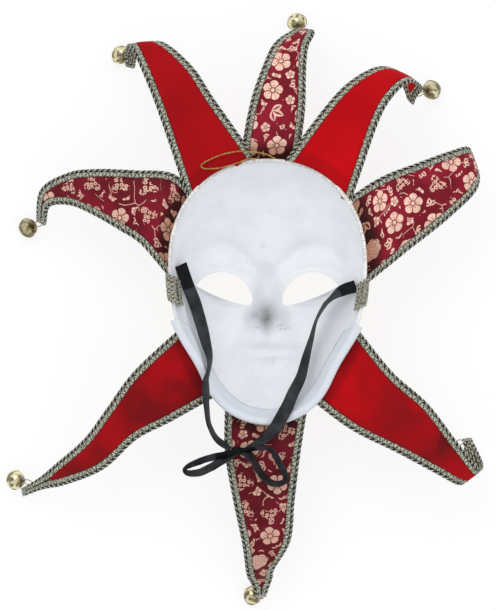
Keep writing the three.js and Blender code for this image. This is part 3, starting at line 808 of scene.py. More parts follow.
class Plug:
    """The space that the shell and its hollow fill, to end the trims at the wall."""

    def __init__(self):
        bm = bmesh.new()
        bowl(bm, 128, 44, inside=False)
        rim = [e for e in bm.edges if e.is_boundary]
        raised = bmesh.ops.extrude_edge_only(bm, edges=rim)["geom"]
        for vert in [g for g in raised if isinstance(g, bmesh.types.BMVert)]:
            vert.co.z = ABOVE_ALL
        self.tree = BVHTree.FromBMesh(bm)
        bm.free()

    def holds(self, point):
        """Whether a point is further inside the wall's outer face than the trims run."""
        middle = Vector((FACE.x, FACE.y, point.z))
        moved = point + (point - middle).normalized() * INTO_WALL
        hit = self.tree.ray_cast(moved + Vector((0, 0, 0.01 * MM)), Vector((0, 0, -1)))
        return hit[0] is not None

    def root(self, path):
        """The least t from which path(t) stays out of the wall."""
        t, step = 0.7, 0.01  # from well outside, back towards the root
        while t > 0 and not self.holds(path(t)):
            t -= step
        if t <= 0:
            return 0.0
        return halve(t, t + step, 8, lambda t: self.holds(path(t)))


# Materials


def operation(name):
    """A method that adds one kind of Math node."""
    return lambda value, *others: value.math(name, *others)


class Value:
    """A socket of a material's nodes, used in arithmetic as a number is."""

    def __init__(self, tree, socket):
        self.tree = tree
        self.socket = socket

    def math(self, kind, *others):
        node = self.tree.nodes.new("ShaderNodeMath")
        node.operation = kind
        for place, value in zip(node.inputs, (self, *others)):
            feed(self.tree, place, value)
        return Value(self.tree, node.outputs[0])

    def out(self, name):
        """Another output of the same node."""
        return Value(self.tree, self.socket.node.outputs[name])

    __add__ = __radd__ = operation("ADD")
    __mul__ = __rmul__ = operation("MULTIPLY")
    __sub__ = operation("SUBTRACT")
    __truediv__ = operation("DIVIDE")
    __pow__ = operation("POWER")
    __abs__ = operation("ABSOLUTE")
    sin = operation("SINE")
    cos = operation("COSINE")
    below = operation("LESS_THAN")
    largest = operation("MAXIMUM")
    least = operation("MINIMUM")

    def __neg__(self):
        return self * -1

    def __rsub__(self, other):
        return -self + other

    def __rtruediv__(self, other):
        return self**-1 * other


def feed(tree, socket, value):
    """Links a value's socket to an input, or sets the input to a number or colour."""
    if isinstance(value, Value):
        tree.links.new(value.socket, socket)
    elif hasattr(value, "__len__") and len(value) == 3 and len(socket.default_value) == 4:
        socket.default_value = (*value, 1)
    else:
        socket.default_value = value


class Finish:
    """A material in the making, on the Principled shader."""

    def __init__(self, name, **constants):
        self.material = bpy.data.materials.new(name)
        self.material.use_nodes = True
        self.tree = self.material.node_tree
        self.shader = self.tree.nodes["Principled BSDF"]
        for socket, value in constants.items():
            self.set(socket.replace("_", " ").title().replace("Ior", "IOR"), value)

    def set(self, socket, value):
        feed(self.tree, self.shader.inputs[socket], value)

    def node(self, kind, settings=None, inputs=None, output=0):
        node = self.tree.nodes.new("ShaderNode" + kind)
        for name, value in (settings or {}).items():
            setattr(node, name, value)
        for name, value in (inputs or {}).items():
            feed(self.tree, node.inputs[name], value)
        return Value(self.tree, node.outputs[output])

    def place(self):
        return self.node("TexCoord", output="Object")

    def uv(self):
        return self.node("TexCoord", output="UV")

    def attribute(self, name):
        return self.node("Attribute", {"attribute_name": name}, output="Fac")

    def noise(self, where, feature, detail=2.0, roughness=0.5):
        """Smooth noise from 0 to 1 with features of a size in metres."""
        return self.node(
            "TexNoise",
            inputs={"Vector": where, "Scale": 1 / feature, "Detail": detail, "Roughness": roughness},
        )

    def ramp(self, value, low, high):
        """0 below low, 1 above high, and smooth between them."""
        return self.node(
            "MapRange",
            {"interpolation_type": "SMOOTHSTEP"},
            {"Value": value, "From Min": low, "From Max": high},
        )

    def mix(self, factor, first, second):
        """A colour from first, at 0, to second, at 1."""
        return self.node("Mix", {"data_type": "RGBA"}, {0: factor, 6: first, 7: second}, output=2)

    def split(self, vector):
        parts = self.node("SeparateXYZ", inputs={"Vector": vector})
        return parts, parts.out("Y"), parts.out("Z")

    def bump(self, height, distance, strength):
        return self.node("Bump", inputs={"Height": height, "Distance": distance, "Strength": strength})


def tinted(base, factors):
    """A colour with each of its three channels multiplied."""
    return tuple(x * y for x, y in zip(base, factors))


def paper_finish():
    """White paint on papier-mache inside, ivory paint with a little gilding on the front."""
    c = colours()
    f = Finish("painted_paper")
    where = f.place()
    inner = f.attribute("inner")
    mottle = f.ramp(f.noise(where, 24 * MM, 4), 0.42, 0.7)
    scuffs = f.ramp(f.noise(where, 7 * MM, 6, 0.65), 0.58, 0.72) * f.ramp(f.noise(where, 50 * MM), 0.5, 0.62)
    white = f.mix(mottle * 0.45, c.paper, GREYED_WHITE)
    white = f.mix(scuffs * 0.4, white, SCUFF)
    # Grey in the nose pit, darkest at its bottom, with a smaller grey spot beside it
    pit_grey = f.attribute("pit") * (0.55 + 0.7 * f.noise(where, 3 * MM, 4))
    white = f.mix(pit_grey, white, PIT_GREY)
    specks = f.ramp(f.noise(where, 1.7 * MM, 2), 0.52, 0.6) * f.attribute("specks")
    white = f.mix(specks * 0.75, white, SPECK)
    # Painted shade below the outer half of each eye hole, and darker grey on the left temple wall, both streaked
    streaks = f.noise(f.node("Mapping", inputs={"Vector": where, "Scale": (1, 0.2, 0.2)}), 2.5 * MM, 3, 0.6)
    white = f.mix(f.attribute("shade") * (0.35 + 0.7 * streaks), white, SHADE_GREY)
    cracks = f.node("TexVoronoi", {"feature": "DISTANCE_TO_EDGE"}, {"Vector": where, "Scale": 1 / (9 * MM)})
    ivory = f.mix(f.ramp(f.noise(where, 30 * MM, 5), 0.35, 0.7) * 0.6, c.front, OLD_IVORY)
    ivory = f.mix(f.ramp(0.025 - cracks, 0, 0.02) * 0.45, ivory, CRACK)
    patina = f.ramp(f.noise(where, 5 * MM, 5, 0.6), 0.35, 0.6)
    gilding = f.attribute("gilding") * (0.6 + 0.4 * patina)
    front = f.mix(gilding, ivory, c.gilt)
    rubbed = f.attribute("rubbed") * f.ramp(f.noise(where, 2.2 * MM, 4, 0.6), 0.38, 0.56)
    base = f.mix(inner, front, white)
    f.set("Base Color", f.mix(rubbed * 0.5, base, RUBBED_GOLD))
    f.set("Metallic", gilding * (1 - inner) * 0.8)
    f.set("Roughness", 0.78 - 0.3 * (1 - inner) * f.ramp(gilding, 0, 0.6))
    fibres = f.noise(where, 1.1 * MM, 6, 0.7) + 0.6 * f.noise(where, 6 * MM, 3)
    f.set("Normal", f.bump(fibres, 0.35 * MM, 0.6))
    return f.material


def band_finish():
    """Thin white cloth soaked in paint."""
    c = colours()
    f = Finish("band_cloth", roughness=0.85, sheen_weight=0.15)
    uv = f.uv()
    along, across, _ = f.split(uv)
    stains = f.ramp(f.noise(f.place(), 18 * MM, 4), 0.45, 0.75)
    f.set("Base Color", f.mix(stains * 0.4, c.band, BAND_STAIN))
    threads = TURN / (0.9 * MM)
    weave = (along * threads).sin() * (across * threads).sin()
    f.set("Normal", f.bump(weave * 0.25 + f.noise(uv, 4 * MM, 3), 0.3 * MM, 0.6))
    return f.material


def velvet_finish(name, patchy_shade):
    """Short red pile with the marks of handling, and painted shade in each cloth's tones and at the wall, patchy where
    asked.
    """
    c = colours()
    f = Finish(name, roughness=0.9, specular_ior_level=0.08, sheen_weight=0.04, sheen_tint=VELVET_SHEEN)
    uv = f.uv()
    nap = f.ramp(f.noise(uv, 45 * MM, 2), 0.3, 0.7)
    pile = f.noise(uv, 0.6 * MM, 3, 0.7)
    red = f.mix(nap * 0.4 + 0.25 * pile, c.velvet, tinted(c.velvet, (0.6, 0.6, 0.6)))
    # Painted shade in the cloth's tones, made patchy by noise where asked
    dusk = f.attribute("dusk")
    if patchy_shade:
        dusk = dusk * (0.72 + 0.56 * f.ramp(f.noise(uv, 42 * MM, 3, 0.5), 0.36, 0.66))
    red = f.mix(dusk, red, VELVET_PAINTED_SHADE)
    # Painted shade where the cloth meets the shell's wall
    near = f.ramp(f.attribute("near_wall"), 0.4, 1) * (0.45 if patchy_shade else 0.25)
    f.set("Base Color", f.mix(near, red, VELVET_SHADE))
    f.set("Normal", f.bump(pile + 0.5 * f.noise(uv, 9 * MM, 3), 0.3 * MM, 0.6))
    return f.material


def scatter(f, cloth, spacing, irregular):
    """Coordinates about the middle of the nearest motif, in millimetres, with its random kind."""
    cell = f.node(
        "TexVoronoi",
        {"voronoi_dimensions": "2D"},
        {"Vector": cloth, "Scale": 1 / spacing, "Randomness": irregular},
    )
    local = f.node("VectorMath", {"operation": "SUBTRACT"}, {0: cloth, 1: cell.out("Position")})
    turn, kind, _ = f.split(cell.out("Color"))
    turned = f.node("VectorRotate", {"rotation_type": "Z_AXIS"}, {"Vector": local, "Angle": turn * TURN})
    x, y, _ = f.split(turned)
    reach = (x * x + y * y) ** 0.5
    return x, y, reach, y.math("ARCTAN2", x), kind


def edge(f, value, soft=0.16):
    """1 where a value is above 0, with a soft step."""
    return f.ramp(value, -soft, soft)


def blossom(f, reach, angle, radius):
    """Five petals with gaps between them, a ring and a middle."""
    lobes = abs((angle * 2.5).cos())
    petals = edge(f, (0.66 + 0.34 * lobes**0.55) * radius - reach)
    gaps = edge(f, 0.035 * reach / radius + 0.12 - lobes * reach / radius, 0.03)
    ring = edge(f, 0.055 * radius - abs(reach - 0.24 * radius), 0.1)
    rays = edge(f, (angle * 10).cos() - 0.75, 0.12) * edge(f, 0.52 * radius - reach)
    outside = edge(f, reach - 0.3 * radius)
    marks = (gaps * outside).largest(ring).largest(rays * outside)
    return petals * (1 - 0.9 * marks)


def rose(f, reach, angle, radius):
    """A scalloped disc with the curved lines of overlapping petals."""
    disc = edge(f, (0.86 + 0.14 * abs((angle * 3.5).cos())) * radius - reach)
    swirl = (reach * (11 / radius) + angle * 2 + (angle * 3).sin() * 0.8).sin()
    lines = edge(f, 0.2 - abs(swirl), 0.1) * edge(f, reach - 0.12 * radius)
    return disc * (1 - 0.85 * lines)


def leaf(f, x, y, length, width):
    """The outline of a pointed leaf from the middle along x."""
    part = x / length
    half = part * (1 - part) * (4 * width)
    slit = edge(f, half * 0.42 - 0.12 * width - abs(y), 0.1)
    return edge(f, half - abs(y), 0.12) * (1 - slit)


def spray(f, x, y, length, width):
    """Three leaves from one middle, on short stalks."""
    lean = math.radians(52)
    away = abs(y)
    aside_x = x * math.cos(lean) + away * math.sin(lean)
    aside_y = away * math.cos(lean) - x * math.sin(lean)
    return leaf(f, x, y, length, width).largest(leaf(f, aside_x, aside_y, length * 0.85, width))


def cluster(f, cloth, reach, angle, radius):
    """Small round blossoms close together."""
    _, _, small, small_angle, _ = scatter(f, cloth, 3.6, 0.35)
    rings = edge(f, 1.55 - small + 0.2 * (small_angle * 5).cos()) * edge(f, small - 0.55, 0.12)
    return rings * edge(f, (0.72 + 0.28 * (angle * 3).cos()) * radius - reach, 0.4)


def share(kind, low, high):
    """1 for the motifs whose random kind lies between two limits."""
    return (1 - kind.below(low)) * kind.below(high)


def flowers(f, cloth):
    """The gold print: 1 where a motif is. Its numbers are in millimetres."""
    x, y, reach, angle, kind = scatter(f, cloth, 24, 0.3)
    radius = 8.4
    first = blossom(f, reach, angle, radius) * kind.below(0.42)
    second = rose(f, reach, angle, radius) * share(kind, 0.42, 0.54)
    third = cluster(f, cloth, reach, angle, radius) * share(kind, 0.54, 0.86)
    fourth = spray(f, x + 5, y, 11, 2.6) * (1 - kind.below(0.86))
    large = first.largest(second).largest(third).largest(fourth)
    x, y, near, angle, kind = scatter(f, cloth, 11, 0.3)
    clear = edge(f, reach - radius - 3)
    flower = blossom(f, near, angle, 4) * kind.below(0.45)
    leaves = spray(f, x + 2.6, y, 6.4, 1.9) * share(kind, 0.45, 0.85)
    small = flower.largest(leaves) * clear
    sway = f.node("TexNoise", inputs={"Vector": cloth, "Scale": 1 / 14, "Detail": 1}, output="Color")
    bent = f.node("VectorMath", {"operation": "MULTIPLY_ADD"}, {0: sway, 1: (9, 9, 0), 2: cloth})
    net = f.node(
        "TexVoronoi",
        {"voronoi_dimensions": "2D", "feature": "DISTANCE_TO_EDGE"},
        {"Vector": bent, "Scale": 1 / 23},
    )
    shown = edge(f, f.node("TexNoise", inputs={"Vector": cloth, "Scale": 1 / 19}) - 0.52, 0.02)
    stems = edge(f, 0.012 - net, 0.006) * shown * edge(f, reach - radius)
    return large.largest(small).largest(stems * 0.9)


def brocade_finish(name, shift, turn):
    """Crimson satin printed with gold flowers, with a painted sheen and painted shade."""
    c = colours()
    f = Finish(name, specular_ior_level=0.12)
    uv = f.uv()
    spin = (0, 0, math.radians(turn))
    millimetres = (1 / MM,) * 3
    cloth = f.node(
        "Mapping", inputs={"Vector": uv, "Location": (*shift, 0), "Rotation": spin, "Scale": millimetres}
    )
    wear_and_shade = f.ramp(f.noise(uv, 1.5 * MM, 3, 0.6), 0.34, 0.52)
    gold = flowers(f, cloth) * (0.6 + 0.4 * wear_and_shade)
    # Painted sheen: broad lighter patches of the satin
    sheen = f.ramp(f.noise(uv, 30 * MM, 2), 0.35, 0.68)
    satin = f.mix(sheen, c.brocade, tinted(c.brocade, (1.7, 2.4, 2.2)))
    pale = tinted(c.print, (0.85, 0.85, 0.85))
    gilt = f.mix(f.ramp(f.noise(uv, 12 * MM, 2), 0.4, 0.7), c.print, pale)
    # Painted shade beside the shell's wall and in each cloth's tones, on both the satin and the print
    near = f.attribute("near_wall")
    dusk = f.attribute("dusk").largest(near * 0.96)
    satin = f.mix(dusk, satin, SATIN_PAINTED_SHADE)
    gilt = f.mix(dusk * 0.75, gilt, PRINT_PAINTED_SHADE)
    f.set("Base Color", f.mix(gold, satin, gilt))
    f.set("Metallic", gold * 0.2)
    f.set("Roughness", 0.4 - 0.06 * gold)
    _, across, _ = f.split(uv)
    threads = (across * (TURN / (0.45 * MM))).sin() * 0.15 + f.noise(uv, 5 * MM, 3)
    f.set("Normal", f.bump(threads, 0.25 * MM, 0.5))
    return f.material


def strand_finish(name, base, dark, metallic, pitch):
    """Twisted metallic yarn: its plies run slantwise round each strand, with painted shade in the grooves between
    them.
    """
    f = Finish(name, specular_ior_level=0.15)
    uv = f.uv()
    along, around, _ = f.split(uv)
    twist = ((along + around * 1.4) * (TURN / pitch)).sin()
    # Painted shade in the grooves between the plies
    grooves = f.ramp(-twist, 0.35, 0.95)
    where = f.place()
    shade = f.ramp(f.noise(where, 2.4 * MM, 3), 0.4, 0.7)
    flecks = f.ramp(f.noise(where, 0.9 * MM, 2, 0.6), 0.53, 0.59)
    # Painted groove shade, random darker patches and dark flecks together
    wear_and_shade = (grooves * 0.5 + shade * 0.3).least(1).largest(flecks * 0.95)
    f.set("Base Color", f.mix(wear_and_shade, base, dark))
    f.set("Metallic", metallic * (1 - grooves))
    f.set("Roughness", 0.42 + 0.3 * grooves)
    f.set("Normal", f.bump(twist, 0.14 * MM, 0.8))
    return f.material


def braid_finishes():
    """Silver, cream, sage and dark strands."""
    c = colours()
    cream = tinted(c.braid_pale, (1.15, 1.08, 1.0))
    sage = tinted(c.braid_pale, (0.05, 0.06, 0.05))
    return (
        strand_finish("braid_silver", c.braid_pale, c.braid_dark, 0.15, 0.8 * MM),
        strand_finish("braid_cream", cream, c.braid_dark, 0.15, 0.8 * MM),
        strand_finish("braid_sage", sage, c.braid_dark, 0.1, 0.8 * MM),
        strand_finish("braid_dark", c.braid_dark, STRAND_SHADE, 0.1, 0.9 * MM),
    )


def brass_finish():
    """Pale brass, darkened at the seam, round the shank, in a ring and in patches: patina and painted dark
    reflections.
    """
    c = colours()
    f = Finish("bell_brass", metallic=1.0)
    where = f.place()
    # Painted dark reflections with patina: sharp dark patches, and bloom that varies the painted bands
    bloom = f.ramp(f.noise(where, 3.5 * MM, 5, 0.6), 0.35, 0.7)
    patches = f.ramp(f.noise(where, 4.5 * MM, 2, 0.4), 0.5, 0.55) * 0.85
    bronze_and_reflection = (f.attribute("tarnish") * (0.75 + 0.5 * bloom)).largest(patches)
    f.set("Base Color", f.mix(bronze_and_reflection, c.brass, DARK_BRONZE_AND_REFLECTION))
    f.set("Roughness", 0.2 + 0.2 * bloom)
    f.set("Normal", f.bump(f.noise(where, 1.2 * MM, 4), 0.08 * MM, 0.5))
    return f.material


def wire_finish():
    c = colours()
    f = Finish("eyelet_metal", metallic=1.0)
    where = f.place()
    marks = f.noise(where, 0.7 * MM, 4)
    f.set("Base Color", f.mix(marks * 0.6, c.wire, WIRE_MARKS))
    f.set("Roughness", 0.22 + 0.25 * marks)
    return f.material


def satin_finish():
    """Black satin with fine ribs across, a woven edge, and a painted sheen in streaks and patches along it."""
    c = colours()
    f = Finish("black_satin_weave", specular_ior_level=0.12)
    uv = f.uv()
    along, across, _ = f.split(uv)
    ribs = (along * (TURN / (0.5 * MM))).sin()
    half = sizes().ribbon / 2
    hem = f.ramp(abs(across), half - 0.9 * MM, half - 0.5 * MM)
    # Painted sheen: lighter streaks and patches along the ribbon, past its first 18 mm
    streaks = f.noise(f.node("Mapping", inputs={"Vector": uv, "Scale": (0.08, 1, 1)}), 0.8 * MM, 3)
    single = f.ramp(along, 17 * MM, 19 * MM)
    sheen = f.ramp(f.noise(uv, 13 * MM, 2), 0.3, 0.7)
    lit = (streaks * 0.5 + sheen * 0.7) * single
    f.set("Base Color", f.mix(lit.least(1), c.ribbon, tinted(c.ribbon, (9, 9, 9))))
    f.set("Roughness", 0.42 + 0.16 * streaks + 0.2 * hem)
    f.set("Normal", f.bump(ribs * 0.3 + hem + f.noise(uv, 6 * MM, 3), 0.16 * MM, 0.6))
    return f.material


def cord_finish():
    c = colours()
    return strand_finish("gold_thread", c.cord, CORD_SHADE, 0.65, 0.5 * MM)


# Pieces


def make_shell():
    """The painted shell: two walls bridged at the rim, with the eye holes cut through."""
    bm = bmesh.new()
    sectors, levels = 192, 96
    bowl(bm, sectors, levels, inside=False)
    inner = bowl(bm, sectors, levels, inside=True)
    bmesh.ops.reverse_faces(bm, faces=list({f for v in inner for f in v.link_faces}))
    rims = [e for e in bm.edges if e.is_boundary]
    bmesh.ops.bridge_loops(bm, edges=rims)
    bm.edges.ensure_lookup_table()
    turned = [e for e in rims if e.is_valid]
    bmesh.ops.bevel(
        bm, geom=turned, offset=0.9 * MM, segments=2, profile=0.5, affect="EDGES", material=-1
    )
    for vert in bm.verts:
        rough = hump(vert.co.z - rim_height(angle_of(vert.co)), 2 * MM)
        vert.co += vert.normal * rough * 0.35 * MM * noise.noise(vert.co / (3 * MM))
    shell = piece_from("painted_shell", bm, paper_finish())
    cut(shell, eye_cutter(1), eye_cutter(-1))
    shell.data.shade_smooth()
    paint_shell(shell)
    settle(shell, "papier_mache", "mask_shell")


def eye_outline(side, steps=16):
    """The outline of the right eye hole, side 1, or of the left one, side -1."""
    points = []
    for knots in EYE:
        curve = interpolate_bezier(*[Vector((side * x, y, 0)) * MM for x, y in knots], steps)
        points.extend(curve[:-1])
    return [p + FACE.to_3d() for p in points]


def eye_cutter(side):
    """The eye hole's outline as a tall block."""
    bm = bmesh.new()
    ring = [bm.verts.new(p) for p in eye_outline(side)]
    face = bm.faces.new(ring)
    raised = bmesh.ops.extrude_face_region(bm, geom=[face])["geom"]
    top = [g for g in raised if isinstance(g, bmesh.types.BMVert)]
    bmesh.ops.translate(bm, verts=top, vec=(0, 0, ABOVE_ALL))
    return piece_from("eye_cutter", bm)


def paint_shell(shell):
    """Marks for the paint: which wall, the grey nose pit, specks, painted shade, gilding and the rubbed rim."""
    middle = Vector((FACE.x, FACE.y, sizes().rim + 40 * MM))
    eyes = [p.to_2d() for side in (1, -1) for p in eye_outline(side, 8)]
    lid_knots = [Vector((x, y, 0)) * MM for x, y in EYE[3]]
    lower_lid = [p.to_2d() for p in interpolate_bezier(*lid_knots, 24)]
    (start_x, start_y), (end_x, end_y) = EYE[3][0], EYE[3][3]

    def lid_line(x):
        return start_y * MM + (x - start_x * MM) * (end_y - start_y) / (end_x - start_x)

    def by_nose(vert, x, y, width, height):
        """1 at a place beside the nose tip, in millimetres, fading over a width and a height."""
        across, up = vert.co.x - FACE.x - NOSE_TIP.x, vert.co.y - FACE.y - NOSE_TIP.y
        return hump(across - x * MM, width * MM) * hump(up - y * MM, height * MM)

    def inner(vert):
        facing = vert.normal.dot((middle - vert.co).normalized())
        return min(max(facing * 4 + 0.5, 0), 1)

    def pit(vert):
        under = FACE.y + NOSE_TIP.y - vert.co.y
        narrow = 1 - 0.45 * min(max(under / (9 * MM), 0), 1)
        main = by_nose(vert, -0.6, 3, 6.6 * narrow, 11.5)
        return min(0.95 * main + 0.3 * by_nose(vert, -11, 5, 3.5, 3.5), 1)

    def specks(vert):
        return min(by_nose(vert, 13, -5.5, 5, 3.2) + 0.8 * by_nose(vert, -9, -5.5, 3, 3), 1)

    def shade(vert):
        """A grey strip of painted shade below the outer half of each eye hole, and darker grey on the left temple
        wall.
        """
        angle = angle_of(vert.co)
        below = rim_height(angle) - vert.co.z
        temple = 0.95 * hump(math.degrees(angle) % 360 - 196, 13) * hump(below, 30 * MM)
        x, y = abs(vert.co.x - FACE.x), vert.co.y - FACE.y
        if abs(y) > 25 * MM or y > lid_line(x):
            return temple
        gap = min((Vector((x, y)) - p).length for p in lower_lid)
        return max(temple, hump(gap, 3.2 * MM) * hump(x - 50 * MM, 14 * MM))

    def gilding(vert):
        flat = vert.co.to_2d()
        gap = min((flat - p).length for p in eyes) if abs(vert.co.y - FACE.y) < 30 * MM else 1
        eye = hump(max(gap - 1.4 * MM, 0), 1.1 * MM)
        x, y = (vert.co.x - FACE.x) / MM, (vert.co.y - FACE.y) / MM
        lips = min(max(2.2 * (1 - math.hypot(x / 22, (y + 56.5) / 9.5) ** 2), 0), 1)
        below = rim_height(angle_of(vert.co)) - vert.co.z
        border = hump(below - 28 * MM, 1.6 * MM)
        return max(eye, lips, border)

    def rubbed(vert):
        angle = math.degrees(angle_of(vert.co)) % 360
        span = hump(max(GILT_FROM - angle, angle - GILT_TO, 0), 8)
        below = rim_height(math.radians(angle)) - vert.co.z
        return span * hump(max(below, 0), 2.6 * MM)

    for mark in (inner, pit, specks, shade, gilding, rubbed):
        paint(shell, mark.__name__, mark)


def make_band():
    """The white cloth band folded over the rim of the jaw."""
    s = sizes()
    half = s.band_thick / 2
    bm = bmesh.new()
    inner = BAND_CLEAR + half

    def profile(angle):
        return [
            over_rim(angle, BAND_LIP - half, -2.2 * MM),
            over_rim(angle, BAND_LIP - 1.2 * MM, 0.6 * MM),
            over_rim(angle, 0, half + 0.6 * MM),
            over_rim(angle, -s.wall, half + 0.6 * MM),
            over_rim(angle, -s.wall - inner, -1 * MM),
            beside_wall(angle, BAND_DEPTH / 2, -inner),
            beside_wall(angle, BAND_DEPTH, -inner),
        ]

    along, across = 150, 18
    angles = [BAND_FROM + (BAND_TO - BAND_FROM) * i / along for i in range(along + 1)]
    profiles = [profile(math.radians(angle)) for angle in angles]
    length = distances([p[3] for p in profiles])[-1]
    girth = distances(profiles[0])[-1]

    def place(u, v):
        rounding = 0.035 * max(2 * v - 1, 0) ** 2
        i, part = step_at(rounding + u * (1 - 2 * rounding), along)
        points = [a.lerp(b, part) for a, b in zip(profiles[i], profiles[i + 1])]
        ragged = 0.03 * noise.noise(Vector((u * 40, 3.7, 0)))
        at = catmull(points, v * (0.97 + ragged))
        corner = 1.5 * MM * hump(min(u, 1 - u), 0.04) * max(1 - 3 * v, 0)
        at += (points[0] - points[3]).normalized() * corner
        crease = noise.noise(Vector((u * 26, v * 3, 1.3))) + 0.5 * noise.noise(Vector((u * 80, v * 7, 5)))
        return at + Vector((0, 0, 0.35 * MM * crease * min(v * 4, 1)))

    grid(bm, along, across, place, lambda u, v: (u * length, v * girth))
    band = piece_from("band_cloth_strip", bm, band_finish())
    thicken(band, s.band_thick)
    settle(band, "white_band", "jaw_band")
    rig.sheet(band, flat=(girth, length), held="stretched", rests_on=["painted_shell"])


def thicken(piece, thickness):
    """Gives a sheet its thickness, half of it on each side."""
    wall = piece.modifiers.new("thickness", "SOLIDIFY")
    wall.thickness = thickness
    wall.offset = 0


def make_point(name, plug, finish):
    """One cloth point: a crowned sheet from the wall of the shell to its curled tip."""
    s = sizes()
    strip = Strip(POINTS[name])
    tuck = 0.5 * MM  # of the cloth under its braid
    narrowest = 0.3 * MM
    end = 1.0
    while strip.width(end) / 2 - s.braid < narrowest:
        end -= 0.002
    along, across = 96, 26

    def half(t):
        return max(strip.width(t) / 2 - s.braid + tuck, 0.2 * MM)

    roots = []
    for j in range(across + 1):
        side = 2 * j / across - 1
        roots.append(plug.root(lambda t, side=side: strip.at(t, side * half(t))))

    def spot(u, v):
        start = roots[round(v * across)]
        t = start + (end - start) * u
        return t, (2 * v - 1) * half(t)

    def place(u, v):
        t, aside = spot(u, v)
        s_along = strip.along(t)
        drape = noise.noise(Vector((s_along / (26 * MM), aside / (16 * MM), len(name))))
        drape += 0.35 * noise.noise(Vector((s_along / (8 * MM), aside / (9 * MM), 7)))
        return strip.at(t, aside, 0.55 * MM * drape * (1 - (2 * v - 1) ** 4))

    def flat(u, v):
        t, aside = spot(u, v)
        return strip.along(t), aside

    bm = bmesh.new()
    grid(bm, along, across, place, flat)
    area = sum(f.calc_area() for f in bm.faces)
    cloth = piece_from(f"cloth_{name}", bm, finish)
    thicken(cloth, s.cloth_thick)
    # Painted shade at the shell's wall
    paint(cloth, "near_wall", near_wall)
    # Painted shade in the cloth's own tones
    paint(cloth, "dusk", lambda vert: tone(vert, PAINTED_SHADE_TONES[name]))
    slot = "brocade" if name in BROCADE else "red_velvet"
    settle(cloth, slot, f"point_{name}")
    widest = 2 * half(min(roots))
    reach = strip.along(end) - strip.along(min(roots))
    flat_size = (widest, max(reach, area / widest))
    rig.sheet(cloth, flat=flat_size, held="stretched", area=area, rests_on=["painted_shell"])


def tone(vert, tones):
    """Blend of a cloth's tones of painted shade by the distance from the middle of the face."""
    steps = len(tones) - 1
    reach = (vert.co.to_2d() - FACE).length - TONE_FROM
    i, part = step_at(reach / (steps * TONE_STEP), steps)
    return tones[i] + (tones[i + 1] - tones[i]) * part


def near_wall(vert):
    """1 at the shell's wall, fading outwards over the cloth: where shade is painted on it."""
    across, up = vert.co.x - FACE.x, vert.co.y - FACE.y - TEMPLE_Y
    wall = outline(angle_of(vert.co)) - Vector((0, TEMPLE_Y))
    fade = 13 * MM
    return hump((max(math.hypot(across, up) - wall.length, 0) / fade) ** 2, 1)


class EdgeTrack:
    """The way of the braid along one edge of a cloth point, from the root to the tip.

    place(s, inward, up) is a place at a distance along it, inward from its outer edge and up from it.
    """

    def __init__(self, strip, side):
        self.strip = strip
        self.side = side
        samples = 260
        self.t = [i / samples for i in range(samples + 1)]
        self.s = distances([strip.at(t, side * strip.width(t) / 2) for t in self.t])
        self.length = self.s[-1]

    def find(self, s):
        """The strip's t at a distance along the edge."""
        i = min(max(bisect_right(self.s, s) - 1, 0), len(self.s) - 2)
        part = (s - self.s[i]) / (self.s[i + 1] - self.s[i])
        return self.t[i] + (self.t[i + 1] - self.t[i]) * part

    def place(self, s, inward, up):
        t = self.find(s)
        outer = self.strip.width(t) / 2
        squeeze = min(1, outer / sizes().braid)
        return self.strip.at(t, self.side * (outer - inward * squeeze), up)


class RimTrack:
    """The way of the braid along the outside of the rim."""

    def __init__(self, start, stop):
        self.start = math.radians(start)
        self.span = math.radians(stop - start)
        steps = 200
        edge = [over_rim(self.start + self.span * i / steps, 0, 0) for i in range(steps + 1)]
        self.length = distances(edge)[-1]

    def place(self, s, inward, up):
        angle = self.start + self.span * s / self.length
        low = BRAID_DEPTH + sizes().braid
        return beside_wall(angle, low - inward, BRAID_CLEAR + sizes().braid_thick / 2 + up)


class TurnedTrack:
    """One lane of the braid turned over the rim: it runs along the rim beside its neighbours."""

    def __init__(self, start, stop, depth, lane):
        out = BRAID_CLEAR + sizes().braid_thick / 2
        proud = 0.9 * MM  # of the rim
        wall = sizes().wall
        self.lane = lane
        self.steps = 24
        self.profiles = []
        for i in range(self.steps + 1):
            angle = math.radians(start + (stop - start) * i / self.steps)
            self.profiles.append(
                [
                    beside_wall(angle, BRAID_DEPTH + sizes().braid / 2, out),
                    beside_wall(angle, BRAID_DEPTH / 2, out),
                    over_rim(angle, proud, 0),
                    over_rim(angle, -wall / 2, sizes().braid_thick / 2 + 0.5 * MM),
                    over_rim(angle, -wall - out, 0),
                    beside_wall(angle, depth, -out),
                ]
            )
        self.length = distances([p[3] for p in self.profiles])[-1]

    def place(self, s, inward, up):
        i, part = step_at(s / self.length, self.steps)
        here, there = self.profiles[i : i + 2]
        path = [a.lerp(b, part) for a, b in zip(here, there)]
        t = (self.lane + inward / sizes().braid) / LANES
        normal = slope(path, t).cross(here[3] - there[3]).normalized()
        return catmull(path, t) + normal * up


def outer_end(items, keep):
    """The items at the end of a list, as far back as all of them are kept."""
    first = len(items)
    while first > 0 and keep(items[first - 1]):
        first -= 1
    return items[first:]


